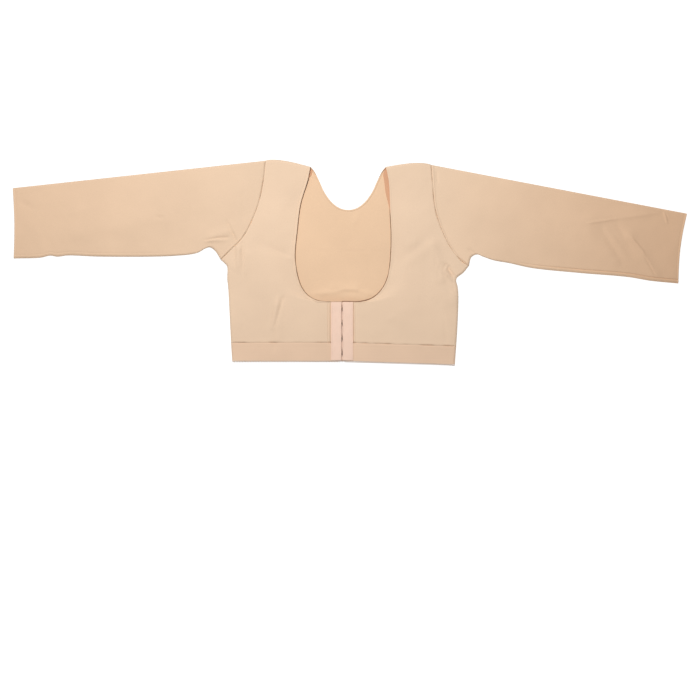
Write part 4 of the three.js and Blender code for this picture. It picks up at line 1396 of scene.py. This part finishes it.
def neck_binding_painted_shadow(half):
    """Elastic under the front's neck edge, coloured dark brown as painted shadow, which shows as a thin dark
    line beside it.
    """
    run = np.linspace(0.3 * MM - TAPE_GAP / 2 - TAPE_BARE, half.neckline.length - 4 * MM, 180)
    share = run / half.neckline.length
    detail = DETAIL[half.key]
    shade_strip_width = detail["shadow_line_low"] + detail["shadow_line_gain"] * smooth(0.1, 0.25, share)
    return neck_strip(run, half, shade_strip_width * MM, 0.42 * MM, 0.2 * MM, 0.2 * MM)


FACING_TO = 330 * MM


def neck_facing_painted_shade(half):
    """The neck facing inside a shoulder, widest towards the neck point. Its darker colour is painted shade of
    the shoulder fold.
    """
    line = half.neckline
    low, width = (size * MM for size in DETAIL[half.key]["facing"])
    start, end = line.distance_at_height(low), line.distance_at_height(FACING_TO)
    run = np.linspace(start, end, 60)
    share = (run - start) / (end - start)
    shade_strip_width = width * smooth(0, 0.62, share) * (1 - 0.75 * smooth(0.86, 1, share))
    return neck_strip(run, half, shade_strip_width, 1.15 * MM, 0.35 * MM, 0.7 * MM)


def armhole_binding_painted_shade(half):
    """Binding under the armhole seam, inside the upper layer and round the fold at either end. Its dark colour,
    which shows through the seam's gap, is painted shade in the seam.
    """
    line = half.armhole
    turn = np.linspace(-0.9, math.pi / 2, 8)[:-1]
    flat = np.linspace(FOLD_RADIUS, line.length - FOLD_RADIUS, 120)
    offsets = np.linspace(-2, 2, 7) * MM
    cloth = Cloth(len(flat) + 2 * len(turn), len(offsets))
    cloth.mask[...] = True
    for column, offset in enumerate(offsets):
        spots = line.beside(flat, offset)
        rise = top_extra(spots) + seam_height(abs(offset), 0, seam_strength(spots))
        for face, depth in ((cloth.outer, CLOTH + 0.2 * MM), (cloth.inner, CLOTH + 0.5 * MM)):
            radius = FOLD_RADIUS - depth
            inwards = FOLD_RADIUS - radius * np.cos(turn)
            ends = []
            for distance, crest in ((inwards, rise[0]), (line.length - inwards, rise[-1])):
                height = FOLD_RADIUS + (radius + np.where(turn > 0, crest, 0)) * np.sin(turn)
                ends.append(np.concatenate([line.beside(distance, offset), height[:, None]], -1))
            middle = np.concatenate([spots, (LAY_HEIGHT + rise - depth)[:, None]], -1)
            face[:, column] = np.concatenate([ends[0], middle, ends[1][::-1]])
    return cloth


def wire_piece(name, points, node, material):
    """A round wire bent through points."""
    curve = bpy.data.curves.new(name, "CURVE")
    curve.dimensions = "3D"
    curve.bevel_depth = WIRE / 2
    curve.bevel_resolution = 3
    curve.use_fill_caps = True
    curve.resolution_u = 6
    spline = curve.splines.new("BEZIER")
    spline.bezier_points.add(len(points) - 1)
    for knot, point in zip(spline.bezier_points, points):
        knot.co = Vector(np.asarray(point) + SHIFT)
        knot.handle_left_type = knot.handle_right_type = "AUTO"
    holder = new_object(name, curve)
    mesh = bpy.data.meshes.new_from_object(holder.evaluated_get(bpy.context.evaluated_depsgraph_get()))
    bpy.data.objects.remove(holder)
    mesh.name = name
    mesh.materials.append(material)
    mesh.shade_smooth()
    piece = new_object(name, mesh)
    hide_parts(node)
    return attach(piece)


ROOT_LEVEL = LAY_HEIGHT - WIRE / 2
BAR_LEVEL = ROOT_LEVEL - HOOK_BEND


def hook_points(up):
    root = -TAPE_GAP / 2 - WIRE_ROOT
    turn = [(HOOK_BEND * math.cos(angle), up, BAR_LEVEL + HOOK_BEND * math.sin(angle))
            for angle in np.linspace(math.pi / 2, -math.pi / 2, 5)]
    return [(root, up, ROOT_LEVEL), *turn, (-HOOK_BEND, up, BAR_LEVEL - HOOK_BEND)]


def eye_points(up):
    root = TAPE_GAP / 2 + WIRE_ROOT
    leg = lambda side: [(root, up + side * EYE_HALF, ROOT_LEVEL),
                        (HOOK_BEND + WIRE, up + side * EYE_HALF, BAR_LEVEL + HOOK_BEND / 2),
                        (WIRE, up + side * EYE_HALF, BAR_LEVEL)]
    corner = lambda side: (0, up + side * (EYE_HALF - WIRE), BAR_LEVEL)
    return [*leg(1), corner(1), corner(-1), *leg(-1)[::-1]]


class GARMENT_OT_hooks(bpy.types.Operator):
    """Build the hooks and eyes"""

    bl_idname = "garment.hooks"
    bl_label = "Hooks and Eyes"

    def execute(self, context):
        # The wire's bronze colour is darkened as painted shade of the hooks in the closure's gap.
        wire = finish("Plated Wire", steel, (0.5, 0.34, 0.24))
        for index, up in enumerate(hook_ups()):
            wire_piece(f"hook_wire_{index + 1}", hook_points(up), f"hook_{index + 1}", wire)
            wire_piece(f"eye_wire_{index + 1}", eye_points(up), f"eye_{index + 1}", wire)
        return {"FINISHED"}


class GARMENT_OT_stitches(bpy.types.Operator):
    """Sew the band and the tapes"""

    bl_idname = "garment.stitches"
    bl_label = "Stitches"

    def execute(self, context):
        settings = context.scene.garment
        sewing = finish("Sewing Thread", thread, tuple(c * 0.86 for c in settings.band_colour))
        tree = stitch_tree("Stitches", sewing, settings.stitch_pitch, 2.4 * MM, 0.26 * MM)
        seam = band_loop(BAND_HEIGHT, 0.0)
        seam[:, 2] -= np.where(seam[:, 2] > FOLD_RADIUS, 0.35 * MM, -0.35 * MM)
        attach(run_tree("band_stitches", tree, [seam]))
        paths = []
        for half in HALVES:
            for inset in (TAPE_SEAM_IN, TAPE_WIDTH - TAPE_SEAM_IN):
                ups = np.linspace(TAPE_END_INSET + 2 * MM, half.closure_top[1] - 2 * MM, 50)
                x = half.hand * (TAPE_GAP / 2 + inset)
                level_z = TAPE_UNDERSIDE + TAPE_THICKNESS - 0.3 * MM
                paths.append(np.stack([np.full(50, x), ups, np.full(50, level_z)], -1))
        pale = finish("Tape Thread", thread, tuple(c * 0.93 for c in settings.tape_colour))
        tree = stitch_tree("Tape Stitches", pale, settings.stitch_pitch, 2.3 * MM, 0.24 * MM)
        attach(run_tree("tape_stitches", tree, paths))
        return {"FINISHED"}


# Stage. The picture is 700 pixels wide at 1.7 mm to a pixel, and its centre lies below the hem.
PIXEL = 1.7 * MM
PICTURE = 700
PICTURE_CENTRE = (0.1 * PIXEL, -87.6 * PIXEL)
CAMERA_HEIGHT = 3.2
SENSOR = 36.0
KEY_PLACE = (-0.22, 0.42, 1.15)
KEY_AIM = (0.02, 0.02, 0.0)
KEY_SIZE = 0.3
KEY_POWER = 12.5
ROOM_LIGHT = 0.3
GLOW = 1.0
FLOOR_TONE = (0.12, 0.12, 0.12, 1)
FLOOR_HALF = 6.0
FLOOR_DROP = 0.1 * MM


class GARMENT_OT_stage(bpy.types.Operator):
    """Build the floor, the lights and the camera"""

    bl_idname = "garment.stage"
    bl_label = "Stage"

    def execute(self, context):
        scene = context.scene
        material, tree, shader, coords = new_material("Pale Table", 0.9)
        faint = map_range(tree, noise_value(tree, coords, 3.0, 2.0), 0.3, 0.7, 0.985, 1.0)
        tint(tree, shader, FLOOR_TONE, faint)
        shader.inputs["Emission Color"].default_value = (1, 1, 1, 1)
        shader.inputs["Emission Strength"].default_value = GLOW
        corners = [(x * FLOOR_HALF, y * FLOOR_HALF, -FLOOR_DROP)
                   for x, y in ((-1, -1), (1, -1), (1, 1), (-1, 1))]
        mesh = bpy.data.meshes.new("stage_floor")
        mesh.from_pydata(corners, [], [(0, 1, 2, 3)])
        mesh.materials.append(material)
        floor = new_object("stage_floor", mesh)
        floor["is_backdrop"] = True

        world = bpy.data.worlds.new("Soft Room")
        world.use_nodes = True
        world.node_tree.nodes["Background"].inputs["Color"].default_value = (1, 1, 1, 1)
        world.node_tree.nodes["Background"].inputs["Strength"].default_value = ROOM_LIGHT
        scene.world = world
        lamp = bpy.data.lights.new("key_light", "AREA")
        lamp.shape = "DISK"
        lamp.size = KEY_SIZE
        lamp.energy = KEY_POWER
        holder = new_object("key_light", lamp)
        holder.location = KEY_PLACE
        aim = Vector(KEY_AIM) - Vector(KEY_PLACE)
        holder.rotation_euler = aim.to_track_quat("-Z", "Y").to_euler()

        camera = bpy.data.cameras.new("camera")
        camera.sensor_width = SENSOR
        camera.lens = SENSOR * (CAMERA_HEIGHT - LAY_HEIGHT) / (PICTURE * PIXEL)
        camera.clip_start = 0.1
        camera.clip_end = 50
        holder = new_object("camera", camera)
        holder.location = (*PICTURE_CENTRE, CAMERA_HEIGHT)
        scene.camera = holder
        scene.view_settings.view_transform = "Standard"
        scene.view_settings.look = "None"
        return {"FINISHED"}


class GARMENT_PT_panel(bpy.types.Panel):
    """Lists the garment's settings and its pieces"""

    bl_idname = "GARMENT_PT_panel"
    bl_label = "Compression Top"
    bl_space_type = "VIEW_3D"
    bl_region_type = "UI"
    bl_category = "Garment"

    def draw(self, context):
        layout = self.layout
        for name in GarmentSettings.__annotations__:
            layout.prop(context.scene.garment, name)
        for operator in OPERATORS:
            layout.operator(operator.bl_idname)


OPERATORS = (
    GARMENT_OT_stage,
    GARMENT_OT_back,
    GARMENT_OT_fronts,
    GARMENT_OT_sleeves,
    GARMENT_OT_band,
    GARMENT_OT_tapes,
    GARMENT_OT_hooks,
    GARMENT_OT_stitches,
)
CLASSES = (GarmentSettings, *OPERATORS, GARMENT_PT_panel)


def register():
    for each in CLASSES:
        bpy.utils.register_class(each)
    bpy.types.Scene.garment = bpy.props.PointerProperty(type=GarmentSettings)


def unregister():
    del bpy.types.Scene.garment
    for each in reversed(CLASSES):
        bpy.utils.unregister_class(each)


def main():
    register()
    bpy.ops.garment.stage()
    bpy.ops.garment.back()
    bpy.ops.garment.fronts()
    bpy.ops.garment.sleeves()
    bpy.ops.garment.band()
    bpy.ops.garment.tapes()
    bpy.ops.garment.hooks()
    bpy.ops.garment.stitches()
    sizes = {"cad": [list(corner) for corner in CAD_BOX], "visual": [list(corner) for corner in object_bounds()]}


if __name__ == "__main__":
    main()
